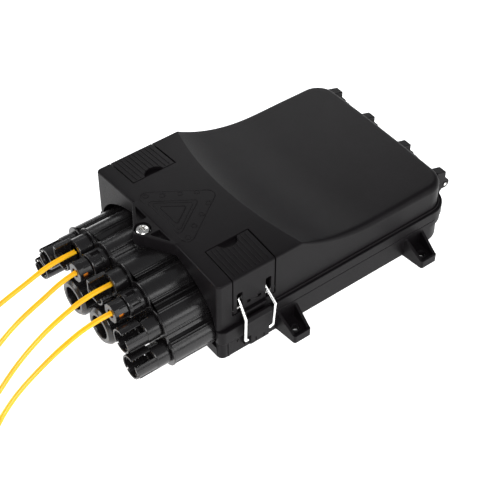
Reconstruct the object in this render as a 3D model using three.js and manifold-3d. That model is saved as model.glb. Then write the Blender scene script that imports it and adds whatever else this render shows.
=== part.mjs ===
// Fibre termination box: hinged lid, two wire-bail latches, a fluted block with eight drop ports
// and two main ports, and four flat drop cables. Millimetres, +Z up.
// X runs across the box, Y from the ports at the front to the hinges at the rear.
// Each part is written with Y = 0 on the lid's front wall, and the whole model is then moved so
// that its origin is the middle of the box's footprint.
import * as THREE from "three";
import { mergeVertices } from "three/addons/utils/BufferGeometryUtils.js";
import Module from "manifold-3d";

const wasm = await Module();
wasm.setup();

// ---------------------------------------------------------------- driving dimensions
const LENGTH = 270.1; // port tips to hinge lugs
const PORT_REACH = 58.4; // port tips in front of the lid's front wall
const WALL = 2.4;
const GAP = 0.35; // between pieces that touch
const FIT = 0.3; // between a pin and its hole

const LID = { half: 70, rear: 200, frontR: 3.5, rearR: 15.5, sideZ: 27.3 };
const SKIRT = { half: 72.8, front: 46, rear: 204, rearR: 18, low: 20.3, high: 28.7 };
const BASE = { half: 71, front: 0.8, rear: 201.5, frontR: 4.5, rearR: 17, rimZ: 20, floor: 2.6 };
const BAND = { half: 72.8, low: 15, high: 27 }; // raised rim around the front of the base
const LEDGE = { half: 69, wide: 3.4, low: 12.5, high: 15.4 };

const TOP = { front: 68.6, rear: 50.6, crown: 4.4, rearCrown: 1.6 };
const RAMP = { start: 56, side: 68, length: 74 }; // where the top starts to fall, and how long it falls

const LATCH = { y: 28.9, half: 16.7, inner: 41, low: 37, plate: 2.5 };
const PIVOT = { x: 67.9, z: 39.6, r: 1.2, knuckle: 2.05 };
const BAIL = { r: 1.1, half: 12, barX: 65.5, barZ: 46.5, kneeX: 78.4, kneeZ: 35.4 };
const HOOK = { x: 75.6, z: 15.2, reach: 3.2 };
const KEEPER = { out: 76.6, half: 10.3, low: 6, high: 32 };

const HINGE = { y: 207.5, z: 35, lug: 7, lugR: 4.2, knuckle: 5, knuckleR: 3.4, pinR: 1.5 };
const HINGE_X = [-56.2, -19.6, 19.6, 56.2];

const EAR = { ys: [55.5, 169.5], out: 89.1, tip: 6.8, top: 17, floor: 4.4, half: 7, flare: 1.6 };

const LIP = 32.5; // front of the port block's lip
const LIP_THICK = 2.2;
const PORTS = [
  { x: -55.3, z: 20.3, kind: "jaw" },
  { x: -46.2, z: 37.1, kind: "jaw" },
  { x: -30.1, z: 48.3, kind: "trough" },
  { x: -11.2, z: 51.1, kind: "gland" },
  { x: 11.2, z: 51.1, kind: "trough" },
  { x: 30.1, z: 48.3, kind: "gland" },
  { x: 46.2, z: 37.1, kind: "jaw" },
  { x: 55.3, z: 20.3, kind: "jaw" },
];
const MAIN = { x: 16, z: 23.4, r: 13.7, hole: 8.3, tip: 56.8 };
const FLUTE_R = 10.6;
const LIP_R = 11.6;
const BORE_R = 6.2;

const SCREW = { y: -8.6, seat: 68.6, head: 4.9, shank: 2.3, end: 55.4 };
const TAB = { half: 24.5, nose: 6.6, low: 62.2, high: 72.4 };

const CORD = { r: 1.9, turnR: 21, ringIn: 17.3, ringOut: 24.7, ringHigh: 8.5 };

// ---------------------------------------------------------------- materials
const plastic = (colour, roughness) =>
  new THREE.MeshStandardMaterial({ color: colour, roughness, metalness: 0 });
const metal = (colour, roughness) =>
  new THREE.MeshStandardMaterial({ color: colour, roughness, metalness: 1 });
const SHELL = plastic(0x262427, 0.62);
const SATIN = plastic(0x1d1c1f, 0.38);
const RUBBER = plastic(0x161617, 0.8);
const AMBER = plastic(0xd9821f, 0.5);
const STEEL = metal(0xc9c9cc, 0.25);
const BRASS = metal(0xb8975a, 0.35);
const JACKET = plastic(0xf2c02c, 0.45);
const GREEN = plastic(0x2f9a55, 0.4);
const GREY = plastic(0xb9bcbe, 0.5);

// ---------------------------------------------------------------- making and joining solids
function solid(geometry) {
  const bare = new THREE.BufferGeometry();
  bare.setAttribute("position", geometry.getAttribute("position").clone());
  if (geometry.index) bare.setIndex(geometry.index.clone());
  const merged = mergeVertices(bare, 1e-4);
  const kept = [];
  const index = merged.index.array;
  for (let i = 0; i < index.length; i += 3) {
    const [a, b, c] = [index[i], index[i + 1], index[i + 2]];
    if (a !== b && b !== c && a !== c) kept.push(a, b, c);
  }
  return new wasm.Manifold(
    new wasm.Mesh({
      numProp: 3,
      vertProperties: Float32Array.from(merged.getAttribute("position").array),
      triVerts: Uint32Array.from(kept),
    }),
  );
}

const join = (parts) => parts.reduce((whole, part) => whole.add(part));
const cut = (body, tools) => tools.reduce((left, tool) => left.subtract(tool), body);

// the same solid on the other side of the box
function mirrored(body) {
  const { vertProperties, triVerts } = body.getMesh();
  const vertices = Float32Array.from(vertProperties);
  for (let i = 0; i < vertices.length; i += 3) vertices[i] *= -1;
  const triangles = Uint32Array.from(triVerts);
  for (let i = 0; i < triangles.length; i += 3) {
    [triangles[i + 1], triangles[i + 2]] = [triangles[i + 2], triangles[i + 1]];
  }
  return new wasm.Manifold(
    new wasm.Mesh({ numProp: 3, vertProperties: vertices, triVerts: triangles }),
  );
}

const bothSides = (make) => [make, mirrored(make)];

function box(x0, x1, y0, y1, z0, z1) {
  const geometry = new THREE.BoxGeometry(x1 - x0, y1 - y0, z1 - z0);
  geometry.translate((x0 + x1) / 2, (y0 + y1) / 2, (z0 + z1) / 2);
  return solid(geometry);
}

function shapeOf(points) {
  return points instanceof THREE.Shape
    ? points
    : new THREE.Shape(points.map(([u, v]) => new THREE.Vector2(u, v)));
}

// an outline in XY, from z0 up to z1
function prismZ(points, z0, z1, curveSegments = 4) {
  const options = { depth: z1 - z0, bevelEnabled: false, curveSegments };
  const geometry = new THREE.ExtrudeGeometry(shapeOf(points), options);
  geometry.translate(0, 0, z0);
  return solid(geometry);
}

// an outline in XZ, from y0 to y1
function prismY(points, y0, y1, curveSegments = 4) {
  const options = { depth: y1 - y0, bevelEnabled: false, curveSegments };
  const geometry = new THREE.ExtrudeGeometry(shapeOf(points), options);
  geometry.rotateX(Math.PI / 2);
  geometry.translate(0, y1, 0);
  return solid(geometry);
}

// an outline in YZ, from x0 to x1
function prismX(points, x0, x1, curveSegments = 4) {
  const options = { depth: x1 - x0, bevelEnabled: false, curveSegments };
  const geometry = new THREE.ExtrudeGeometry(shapeOf(points), options);
  geometry.applyMatrix4(new THREE.Matrix4().set(0, 0, 1, x0, 1, 0, 0, 0, 0, 1, 0, 0, 0, 0, 0, 1));
  return solid(geometry);
}

function rodY(x, z, r, y0, y1, sides = 16, turn = 0) {
  const geometry = new THREE.CylinderGeometry(r, r, y1 - y0, sides, 1, false, turn);
  geometry.translate(x, (y0 + y1) / 2, z);
  return solid(geometry);
}

function rodX(y, z, r, x0, x1, sides = 14) {
  const geometry = new THREE.CylinderGeometry(r, r, x1 - x0, sides);
  geometry.rotateZ(Math.PI / 2);
  geometry.translate((x0 + x1) / 2, y, z);
  return solid(geometry);
}

function rodZ(x, y, r, z0, z1, sides = 16) {
  const geometry = new THREE.CylinderGeometry(r, r, z1 - z0, sides);
  geometry.rotateX(Math.PI / 2);
  geometry.translate(x, y, (z0 + z1) / 2);
  return solid(geometry);
}

// a turned piece on an axis along Z, from pairs of radius and height
function turnedZ(x, y, profile, sides = 16) {
  const points = profile.map(([r, z]) => new THREE.Vector2(r, z));
  const geometry = new THREE.LatheGeometry(points, sides);
  geometry.rotateX(Math.PI / 2);
  geometry.translate(x, y, 0);
  return solid(geometry);
}

// a turned piece on an axis along Y, from pairs of radius and y, listed from front to rear
function turnedY(x, z, profile, sides = 14) {
  const points = profile.map(([r, y]) => new THREE.Vector2(r, y));
  const geometry = new THREE.LatheGeometry(points, sides);
  geometry.translate(x, 0, z);
  return solid(geometry);
}

// a rectangle in plan, centred on X, with its own front and rear corner radii
function plan(half, front, rear, frontR, rearR) {
  const shape = new THREE.Shape();
  shape.moveTo(-half + frontR, front);
  shape.lineTo(half - frontR, front);
  if (frontR) shape.absarc(half - frontR, front + frontR, frontR, -Math.PI / 2, 0);
  shape.lineTo(half, rear - rearR);
  if (rearR) shape.absarc(half - rearR, rear - rearR, rearR, 0, Math.PI / 2);
  shape.lineTo(-half + rearR, rear);
  if (rearR) shape.absarc(-half + rearR, rear - rearR, rearR, Math.PI / 2, Math.PI);
  shape.lineTo(-half, front + frontR);
  if (frontR) shape.absarc(-half + frontR, front + frontR, frontR, Math.PI, Math.PI * 1.5);
  return shape;
}

function ring(outer, inner, z0, z1) {
  return prismZ(outer, z0, z1).subtract(prismZ(inner, z0 - 1, z1 + 1));
}

// a sector of a tube around an axis along Y, between two angles measured from +X towards +Z
function shellY(x, z, rOut, rIn, from, to, y0, y1, steps) {
  const points = [];
  const angle = (i) => THREE.MathUtils.degToRad(from + ((to - from) * i) / steps);
  for (let i = 0; i <= steps; i += 1) {
    points.push([x + rOut * Math.cos(angle(i)), z + rOut * Math.sin(angle(i))]);
  }
  for (let i = steps; i >= 0; i -= 1) {
    points.push([x + rIn * Math.cos(angle(i)), z + rIn * Math.sin(angle(i))]);
  }
  return prismY(points, y0, y1);
}

function sweep(curve, r, steps, sides = 8) {
  const circle = [];
  for (let i = 0; i < sides; i += 1) {
    const angle = (2 * Math.PI * i) / sides;
    circle.push([r * Math.cos(angle), r * Math.sin(angle)]);
  }
  const options = { steps, extrudePath: curve, bevelEnabled: false };
  return solid(new THREE.ExtrudeGeometry(shapeOf(circle), options));
}

// straight runs through points, with every corner rounded off
function rounded(points, radius) {
  const at = points.map((p) => new THREE.Vector3(...p));
  const path = new THREE.CurvePath();
  let last = at[0];
  for (let i = 1; i < at.length - 1; i += 1) {
    const before = at[i].clone().add(last.clone().sub(at[i]).setLength(radius));
    const after = at[i].clone().add(at[i + 1].clone().sub(at[i]).setLength(radius));
    path.add(new THREE.LineCurve3(last, before));
    path.add(new THREE.QuadraticBezierCurve3(before, at[i], after));
    last = after;
  }
  path.add(new THREE.LineCurve3(last, at[at.length - 1]));
  return path;
}

// ---------------------------------------------------------------- the lid's crowned top
const smooth = (t) => t * t * (3 - 2 * t);

// how far the top has fallen from its high front towards its low rear, 0 to 1
function fallen(x, y) {
  const across = Math.abs(x) / LID.half;
  const start = RAMP.start + (RAMP.side - RAMP.start) * across ** 2;
  const t = THREE.MathUtils.clamp((y - start) / RAMP.length, 0, 1);
  return 1 - (1 - t) ** 2.3;
}

function topHeight(x, y) {
  const across = Math.abs(x) / LID.half;
  const front = TOP.front + TOP.crown * (1 - across ** 2);
  const rear = TOP.rear + TOP.rearCrown * (1 - across ** 2);
  const drop = fallen(x, y);
  return front + (rear - front) * drop;
}

// distance in from the lid's outline, for the rounding of its edge
function inward(x, y) {
  const cornerR = LID.rearR;
  const dx = LID.half - Math.abs(x);
  const dy = LID.rear - y;
  if (dx < cornerR && dy < cornerR) {
    return cornerR - Math.hypot(cornerR - dx, cornerR - dy);
  }
  return Math.min(dx, dy, y);
}

function edgeDrop(x, y) {
  const r = 1.6 + 2.6 * fallen(x, y);
  const d = THREE.MathUtils.clamp(inward(x, y), 0, r);
  return r - Math.sqrt(Math.max(r * r - (r - d) ** 2, 0));
}

const FINE = {
  x: [0, 22, 42, 56, 64, 68, 69.6, 73],
  y: [-4, 0.3, 1.4, 30, 54, 62, 70, 79, 90, 104, 120, 142, 170, 188, 195, 198.6, 199.6, 205],
};
const COARSE = { x: [0, 38, 73], y: [-4, 54, 66, 80, 98, 124, 205] };

// everything below the top surface, lowered by a depth; the outer surface has its edge rounded
function underTop(depth, edge) {
  const grid = edge ? FINE : COARSE;
  const xs = [...grid.x.slice(1).map((x) => -x).reverse(), ...grid.x];
  const ys = grid.y;
  const points = [];
  const height = (x, y) => topHeight(x, y) - depth - (edge ? edgeDrop(x, y) : 0);
  for (const y of ys) for (const x of xs) points.push(x, y, height(x, y));
  const wide = xs.length;
  const deep = ys.length;
  const count = wide * deep;
  for (const y of ys) for (const x of xs) points.push(x, y, -20);
  const faces = [];
  const quad = (a, b, c, d) => faces.push(a, b, c, a, c, d);
  for (let j = 0; j < deep - 1; j += 1) {
    for (let i = 0; i < wide - 1; i += 1) {
      const a = j * wide + i;
      quad(a, a + 1, a + wide + 1, a + wide);
      quad(count + a, count + a + wide, count + a + wide + 1, count + a + 1);
    }
  }
  for (let i = 0; i < wide - 1; i += 1) {
    quad(i, count + i, count + i + 1, i + 1);
    const far = (deep - 1) * wide + i;
    quad(far + 1, count + far + 1, count + far, far);
  }
  for (let j = 0; j < deep - 1; j += 1) {
    const near = j * wide;
    quad(near + wide, count + near + wide, count + near, near);
    const far = near + wide - 1;
    quad(far, count + far, count + far + wide, far + wide);
  }
  const geometry = new THREE.BufferGeometry();
  geometry.setAttribute("position", new THREE.Float32BufferAttribute(points, 3));
  geometry.setIndex(faces);
  return solid(geometry);
}

const outerTop = underTop(0, true);

// ---------------------------------------------------------------- base tray
function ear(y) {
  const wide = EAR.half + EAR.flare;
  const outline = [
    [69.6, y - wide],
    [EAR.out - 1.5, y - EAR.half],
    [EAR.out, y - EAR.half + 1.5],
    [EAR.out, y + EAR.half - 1.5],
    [EAR.out - 1.5, y + EAR.half],
    [69.6, y + wide],
  ];
  const side = [
    [69.6, 0],
    [EAR.out, 0],
    [EAR.out, EAR.tip],
    [EAR.out - 2.2, EAR.tip],
    [70.5, EAR.top],
    [69.6, EAR.top],
  ];
  const pocket = [
    [60, y - wide + 2.1],
    [EAR.out - 1.9, y - EAR.half + 1.9],
    [EAR.out - 1.9, y + EAR.half - 1.9],
    [60, y + wide - 2.1],
  ];
  const body = prismZ(outline, 0, 30).intersect(prismY(side, y - 20, y + 20));
  const inner = prismZ(pocket, EAR.floor, 40).intersect(box(71.6, 100, y - 20, y + 20, 0, 40));
  return cut(body, [inner, rodZ(80.7, y, 2.5, -1, 10, 12)]);
}

function keeper() {
  const { y } = LATCH;
  const profile = [
    [70.5, KEEPER.low],
    [74.6, KEEPER.low],
    [KEEPER.out, KEEPER.low + 2],
    [KEEPER.out, KEEPER.high - 2.4],
    [74.6, KEEPER.high],
    [72.9, KEEPER.high],
    [72.5, 26],
    [70.5, 26],
  ];
  const block = prismY(profile, y - KEEPER.half, y + KEEPER.half);
  const notch = (side) => {
    const inner = y + side * (KEEPER.half - 2.9);
    const outer = y + side * (KEEPER.half + 1);
    return box(73.9, 80, Math.min(inner, outer), Math.max(inner, outer), 3, 16.75);
  };
  return cut(block, [notch(-1), notch(1)]);
}

// carries a hinge knuckle up behind the lid's skirt
function hingeArm(x0) {
  const r = HINGE.knuckleR;
  const profile = [
    [199.8, 8],
    [203.8, 8],
    [HINGE.y + r, 22],
    [HINGE.y + r, HINGE.z],
  ];
  for (let i = 1; i < 6; i += 1) {
    const angle = (Math.PI * i) / 6;
    profile.push([HINGE.y + r * Math.cos(angle), HINGE.z + r * Math.sin(angle)]);
  }
  profile.push([HINGE.y - r, HINGE.z], [204.6, 32], [204.6, 19.6], [199.8, 19.6]);
  return prismX(profile, x0, x0 + HINGE.knuckle);
}

// a base knuckle sits at the +X side of its lug, but inside the last one
const knuckleX = (x) => (x > 40 ? x - HINGE.lug / 2 - 0.4 - HINGE.knuckle : x + HINGE.lug / 2 + 0.4);

function baseTray() {
  const wall = prismZ(plan(BASE.half, BASE.front, BASE.rear, BASE.frontR, BASE.rearR), 0, BASE.rimZ);
  const rim = prismZ(plan(72.3, BASE.front, 203.6, 5, 18), BAND.low, BASE.rimZ);
  const band = prismZ(plan(BAND.half, 0, SKIRT.front - 0.4, BASE.frontR, 0), BAND.low, BAND.high);
  const cavity = prismZ(plan(LEDGE.half, 3, 198.8, 2.5, 14.5), BASE.floor, 60);
  const ledge = ring(
    plan(LEDGE.half + 0.5, 2.6, 199.3, 2.6, 14.8),
    plan(LEDGE.half - LEDGE.wide, 6, 198.8 - LEDGE.wide, 1, 11.5),
    LEDGE.low,
    LEDGE.high,
  );
  const mouth = [
    [-66.8, 8.6],
    [66.8, 8.6],
    [66.8, 40],
    [-66.8, 40],
  ];
  const shell = cut(join([wall, rim, band]), [cavity]);
  const ears = EAR.ys.flatMap((y) => bothSides(ear(y)));
  const arms = HINGE_X.map((x) => hingeArm(knuckleX(x)));
  const bosses = [-58, 58].flatMap((x) => [30, 176].map((y) => rodZ(x, y, 3.4, 2, 9, 10)));
  const standoffs = [-40, 40].flatMap((x) => [82, 180].map((y) => rodZ(x, y, 3.2, 2, 11.6, 10)));
  const solidParts = [shell, ledge, ...ears, ...arms, ...bothSides(keeper()), ...bosses, ...standoffs];
  return cut(join(solidParts), [
    prismY(mouth, -2, 6.4),
    rodX(HINGE.y, HINGE.z, HINGE.pinR + FIT, -80, 80),
  ]);
}

// ---------------------------------------------------------------- lid
function archShape(rx, rz) {
  const shape = new THREE.Shape();
  shape.moveTo(rx, 10);
  shape.lineTo(rx, LID.sideZ);
  shape.absellipse(0, LID.sideZ, rx, rz, 0, Math.PI);
  shape.lineTo(-rx, 10);
  return shape;
}

function latchHousing() {
  const y0 = LATCH.y - LATCH.half - 2.7;
  const y1 = LATCH.y + LATCH.half + 2.7;
  const cheeks = box(58.5, 69.5, y0, y1, LID.sideZ, 80);
  const shelf = box(38.2, 69.5, y0, y1, LID.sideZ, 80).subtract(underTop(7.2, false));
  return cheeks.add(shelf).intersect(outerTop);
}

function latchPocket() {
  const { y } = LATCH;
  const half = LATCH.half + GAP;
  const above = box(LATCH.inner - GAP, 90, y - half, y + half, 60, 90);
  const top = above.subtract(underTop(LATCH.plate + 0.5, false));
  const side = box(70 - LATCH.plate - 0.4, 90, y - half, y + half, LATCH.low - 0.4, 90);
  const deep = box(61.6, 90, y - 15.9, y + 15.9, 35.2, 55.4);
  const heel = box(64.3, 90, y - half, y + half, 36, 43.4);
  const finger = rodZ(LATCH.inner - 2.2, y, 7.7, 60, 90).subtract(underTop(2.4, false));
  const shelfCut = finger.intersect(box(LATCH.inner - GAP, 90, y - 20, y + 20, 0, 90));
  const pin = rodY(PIVOT.x, PIVOT.z, PIVOT.r + FIT, y - half - 1.6, y + half + 1.6, 12);
  return join([top, side, deep, heel, shelfCut, pin]);
}

function screwTab() {
  const outline = new THREE.Shape();
  outline.moveTo(-TAB.half, 1.5);
  outline.lineTo(-TAB.half, -0.4);
  outline.lineTo(-TAB.nose * 0.86, SCREW.y - TAB.nose * 0.5);
  outline.absarc(0, SCREW.y, TAB.nose, Math.PI * 1.17, Math.PI * 1.83);
  outline.lineTo(TAB.half, -0.4);
  outline.lineTo(TAB.half, 1.5);
  const body = prismZ(outline, TAB.low, TAB.high);
  const corners = [
    [7.6, -1.2],
    [7.6, SCREW.y + 2.6],
    [17.4, -1.2],
  ];
  return cut(body, bothSides(prismZ(corners, TAB.high - 2.6, 80)));
}

// carries the hinge pin behind the lid's rear wall
function hingeLug(x) {
  const r = HINGE.lugR;
  const profile = [[198.6, 49.2], [207.6, 46.4], [207.6, 41.5]];
  for (let i = 4; i >= -4; i -= 1) {
    const angle = (Math.PI * i) / 10;
    profile.push([HINGE.y + r * Math.cos(angle), HINGE.z + r * Math.sin(angle)]);
  }
  profile.push([205.2, 31.4], [203.6, 29.2], [203.6, 26.6], [198.6, 26.6]);
  const lug = profile.reverse();
  return prismX(lug, x - HINGE.lug / 2, x + HINGE.lug / 2);
}

function lidCover() {
  const outline = plan(LID.half, 0, LID.rear, LID.frontR, LID.rearR);
  const inside = plan(LID.half - WALL, WALL, LID.rear - WALL, 1.5, 13);
  const skirtShape = plan(SKIRT.half, SKIRT.front, SKIRT.rear, 0, SKIRT.rearR);
  const outer = prismZ(outline, LID.sideZ, 90).intersect(outerTop);
  const skirt = prismZ(skirtShape, SKIRT.low, SKIRT.high);
  const hollow = prismZ(inside, 0, 90).intersect(underTop(WALL, false));
  const tongue = ring(plan(68.5, 3.6, 198.2, 2.2, 14), plan(66.2, 6, 195.8, 1, 11.8), 18.2, 31);
  const frontCut = box(-66.6, 66.6, -3, 10, 10, 30);
  const shell = cut(outer.add(skirt), [hollow]).add(cut(tongue, [frontCut]));
  const housings = bothSides(latchHousing());
  const lugs = HINGE_X.map(hingeLug);
  const body = join([shell, ...housings, screwTab(), ...lugs]);
  return cut(body, [
    prismY(archShape(65.6, 37.6), -0.5, 6.5, 10),
    ...bothSides(latchPocket()),
    rodX(HINGE.y, HINGE.z, HINGE.pinR + FIT, -90, 90),
    rodZ(0, SCREW.y, SCREW.shank + 0.5, 40, 90),
    rodZ(0, SCREW.y, SCREW.head + 0.9, SCREW.seat, 90, 20),
  ]);
}

// ---------------------------------------------------------------- latches
function latchLever() {
  const { y } = LATCH;
  const y0 = y - LATCH.half;
  const y1 = y + LATCH.half;
  const plate = box(LATCH.inner, 70, y0, y1, 55, 90).subtract(underTop(LATCH.plate, false));
  const side = box(70 - LATCH.plate, 70, y0, y1, LATCH.low, 90);
  const knuckle = rodY(PIVOT.x, PIVOT.z, PIVOT.knuckle, y0 + 1.2, y1 - 1.2, 14);
  const bearing = box(62.9, 68, y - 8.2, y + 8.2, 44.1, 49);
  const body = join([plate.add(side).intersect(outerTop), knuckle, bearing]);
  const slot = (side) => box(60, 75, y + side * 11.6 - 2.2, y + side * 11.6 + 2.2, 30, 54.2);
  const notch = rodZ(LATCH.inner - 2.2, y, 8, 50, 90, 20);
  const window = (side) => box(66, 75, y + side * 4.4 - 1.1, y + side * 4.4 + 1.1, 40.6, 42.8);
  return cut(body, [
    slot(-1),
    slot(1),
    notch,
    window(-1),
    window(1),
    rodY(BAIL.barX, BAIL.barZ, BAIL.r + FIT, y - 20, y + 20, 12),
    rodY(PIVOT.x, PIVOT.z, PIVOT.r + FIT, y - 20, y + 20, 12),
  ]);
}

function latchPin() {
  const half = LATCH.half + 1.5;
  return rodY(PIVOT.x, PIVOT.z, PIVOT.r, LATCH.y - half, LATCH.y + half, 10);
}

function latchBail() {
  const leg = (side) => [
    [HOOK.x, LATCH.y + side * (BAIL.half - HOOK.reach), HOOK.z],
    [HOOK.x, LATCH.y + side * BAIL.half, HOOK.z],
    [BAIL.kneeX, LATCH.y + side * BAIL.half, BAIL.kneeZ],
    [BAIL.barX, LATCH.y + side * BAIL.half, BAIL.barZ],
  ];
  const points = [...leg(-1), ...leg(1).reverse()];
  return sweep(rounded(points, 1.5), BAIL.r, 48, 6);
}

// ---------------------------------------------------------------- screw, washer and insert
function lidScrew() {
  const seat = SCREW.seat + 1.4;
  const head = turnedZ(0, SCREW.y, [
    [0, SCREW.end],
    [SCREW.shank - 0.6, SCREW.end],
    [SCREW.shank, SCREW.end + 0.8],
    [SCREW.shank, seat],
    [SCREW.head, seat],
    [SCREW.head, seat + 1.2],
    [SCREW.head * 0.8, seat + 2.4],
    [SCREW.head * 0.4, seat + 3],
    [0, seat + 3.1],
  ]);
  const slot = (long, wide) =>
    box(-long / 2, long / 2, SCREW.y - wide / 2, SCREW.y + wide / 2, seat + 1, seat + 5);
  return cut(head, [slot(5.4, 1.1), slot(1.1, 5.4)]);
}

function screwWasher() {
  const z = SCREW.seat + 0.2;
  return turnedZ(0, SCREW.y, [
    [SCREW.shank + 0.3, z],
    [SCREW.head + 0.5, z],
    [SCREW.head + 0.5, z + 0.9],
    [SCREW.shank + 0.3, z + 0.9],
    [SCREW.shank + 0.3, z],
  ]);
}

function screwInsert() {
  return turnedZ(0, SCREW.y, [
    [SCREW.shank + 0.2, 50],
    [3.9, 50],
    [3.9, 61.4],
    [SCREW.shank + 0.2, 61.4],
    [SCREW.shank + 0.2, 50],
  ]);
}

// ---------------------------------------------------------------- port block
const BLOCK_CORE = [
  [-58, 12],
  [58, 12],
  [62, 24],
  [50, 41],
  [32, 53],
  [0, 57.5],
  [-32, 53],
  [-50, 41],
  [-62, 24],
];

function section(r, mainR, y0, y1) {
  const drops = PORTS.map(({ x, z }) => rodY(x, z, r, y0, y1, 14));
  const mains = [-MAIN.x, MAIN.x].map((x) => rodY(x, MAIN.z, mainR, y0, y1, 16));
  return join([prismY(BLOCK_CORE, y0, y1), ...drops, ...mains]);
}

function portBlock() {
  const flutes = section(FLUTE_R, 13.4, -LIP + LIP_THICK - 0.2, 9);
  const lip = section(LIP_R, 14.4, -LIP, -LIP + LIP_THICK);
  const tubes = [-MAIN.x, MAIN.x].map((x) => rodY(x, MAIN.z, 12.2, -51, -LIP + 1, 16));
  const boss = rodZ(0, SCREW.y, 5.6, 46, 61.8, 14);
  const bores = PORTS.map(({ x, z }) => rodY(x, z, BORE_R, -60, 20, 14));
  const mainBores = [-MAIN.x, MAIN.x].map((x) => rodY(x, MAIN.z, 9.4, -60, 20, 16));
  const seats = [-MAIN.x, MAIN.x].map((x) => rodY(x, MAIN.z, 10.9, -60, -41, 16));
  const insertHole = rodZ(0, SCREW.y, 4.2, 49.7, 70, 14);
  return cut(join([flutes, lip, ...tubes, boss]), [...bores, ...mainBores, ...seats, insertHole]);
}

function portSeal() {
  const plate = prismY(archShape(65.2, 38.4), 7, 8.6, 10);
  const inner = section(FLUTE_R + GAP, 13.4 + GAP, 0, 20);
  return cut(plate, [inner, box(-90, 90, 0, 20, -5, 28)]);
}

// sleeve that fills a drop port; its fixed jaw or trough reaches forward to the tip
const SLEEVE = { out: 8.5, bore: 4.4, end: 43.4, shellOut: 7.9, shellIn: 6.6, tip: 58.4 };

function sleeveTube({ x, z }) {
  return turnedY(x, z, [
    [SLEEVE.bore, -SLEEVE.end],
    [SLEEVE.out - 0.8, -SLEEVE.end],
    [SLEEVE.out, -SLEEVE.end + 0.8],
    [SLEEVE.out, -LIP - GAP],
    [BORE_R - FIT, -LIP - GAP],
    [BORE_R - FIT, -LIP + 7],
    [SLEEVE.bore, -LIP + 7],
    [SLEEVE.bore, -SLEEVE.end],
  ]);
}

function jawSleeve(port, from, to, tip) {
  const { x, z } = port;
  const jaw = shellY(x, z, SLEEVE.shellOut, SLEEVE.shellIn, from, to, -tip, -SLEEVE.end + 1, 7);
  const middle = (from + to) / 2;
  const [outer, inner] = [SLEEVE.shellIn + 0.2, SLEEVE.shellIn - 1.6];
  const rib = shellY(x, z, outer, inner, middle - 32, middle + 32, -tip + 1.5, -tip + 3, 3);
  return join([sleeveTube(port), jaw, rib]);
}

// the hinged half that closes a jaw or trough, turned open about an axis along Y at its edge
function clamp(port, from, to, hingeAngle, open, tip, back = -SLEEVE.end - 0.5) {
  const { x, z } = port;
  const r = (SLEEVE.shellOut + SLEEVE.shellIn) / 2;
  const angle = THREE.MathUtils.degToRad(hingeAngle);
  const axis = new THREE.Vector3(x + r * Math.cos(angle), 0, z + r * Math.sin(angle));
  const front = -tip;
  const points = [];
  const steps = 6;
  const at = (radius, i) => {
    const a = THREE.MathUtils.degToRad(from + ((to - from) * i) / steps);
    return new THREE.Vector2(x + radius * Math.cos(a), z + radius * Math.sin(a));
  };
  for (let i = 0; i <= steps; i += 1) points.push(at(SLEEVE.shellOut, i));
  for (let i = steps; i >= 0; i -= 1) points.push(at(SLEEVE.shellIn, i));
  const pivot = new THREE.Vector2(axis.x, axis.z);
  const turned = points.map((p) => p.clone().rotateAround(pivot, THREE.MathUtils.degToRad(open)));
  return prismY(turned.map((p) => [p.x, p.y]), front, back);
}

// jaws face each other across a slot that looks up and outward
function portPieces(port, name) {
  const side = Math.sign(port.x);
  if (port.kind === "jaw") {
    const arc = side > 0 ? [-128, 44] : [136, 308];
    const cover = side > 0 ? [60, 218] : [-38, 120];
    const hinge = side > 0 ? 225 : -45;
    const open = side > 0 ? 16 : -16;
    return [
      [`port_sleeve_${name}`, jawSleeve(port, ...arc, SLEEVE.tip), SATIN],
      [`port_clamp_${name}`, clamp(port, ...cover, hinge, open, SLEEVE.tip), SATIN],
    ];
  }
  if (port.kind === "trough") {
    return [
      [`port_sleeve_${name}`, jawSleeve(port, 112, 292, 55.5), SATIN],
      [`port_clamp_${name}`, clamp(port, 306, 384, 299, -20, 55.2, -48), SATIN],
    ];
  }
  return [
    [`gland_collar_${name}`, glandCollar(port), SATIN],
    [`gland_nut_${name}`, glandNut(port), SATIN],
    [`gland_seal_${name}`, glandSeal(port), AMBER],
  ];
}

const COLLAR = { out: 8.5, mid: 7, end: 45, nutEnd: 55.2, nut: 7.1, bore: 5.3 };

function glandCollar({ x, z }) {
  const body = turnedY(x, z, [
    [4.4, -COLLAR.end],
    [COLLAR.out - 0.6, -COLLAR.end],
    [COLLAR.out, -COLLAR.end + 0.8],
    [COLLAR.out, -LIP - GAP],
    [BORE_R - FIT, -LIP - GAP],
    [BORE_R - FIT, -LIP + 7],
    [4.4, -LIP + 7],
    [4.4, -COLLAR.end],
  ]);
  const windows = [];
  for (let i = 0; i < 6; i += 1) {
    const angle = (i + 0.5) * 60;
    windows.push(shellY(x, z, 12, 6.9, angle - 20, angle + 20, -42.6, -35.6, 3));
  }
  return cut(body, windows);
}

function glandNut({ x, z }) {
  const body = rodY(x, z, COLLAR.nut, -COLLAR.nutEnd, -COLLAR.end - GAP, 10, 0.3);
  const bore = rodY(x, z, COLLAR.bore, -COLLAR.nutEnd + 1.2, -30, 14);
  const mouth = rodY(x, z, 3.2, -70, -30, 12);
  const window = box(x + 2.4, x + 12, -52.4, -49, z - 1.6, z + 1.6);
  return cut(body, [bore, mouth, window]);
}

function glandSeal({ x, z }) {
  return turnedY(x, z, [
    [2.4, -COLLAR.nutEnd + 1.6],
    [COLLAR.bore - FIT, -COLLAR.nutEnd + 1.6],
    [COLLAR.bore - FIT, -COLLAR.end - 0.9],
    [2.4, -COLLAR.end - 0.9],
    [2.4, -COLLAR.nutEnd + 1.6],
  ], 14);
}

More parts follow.
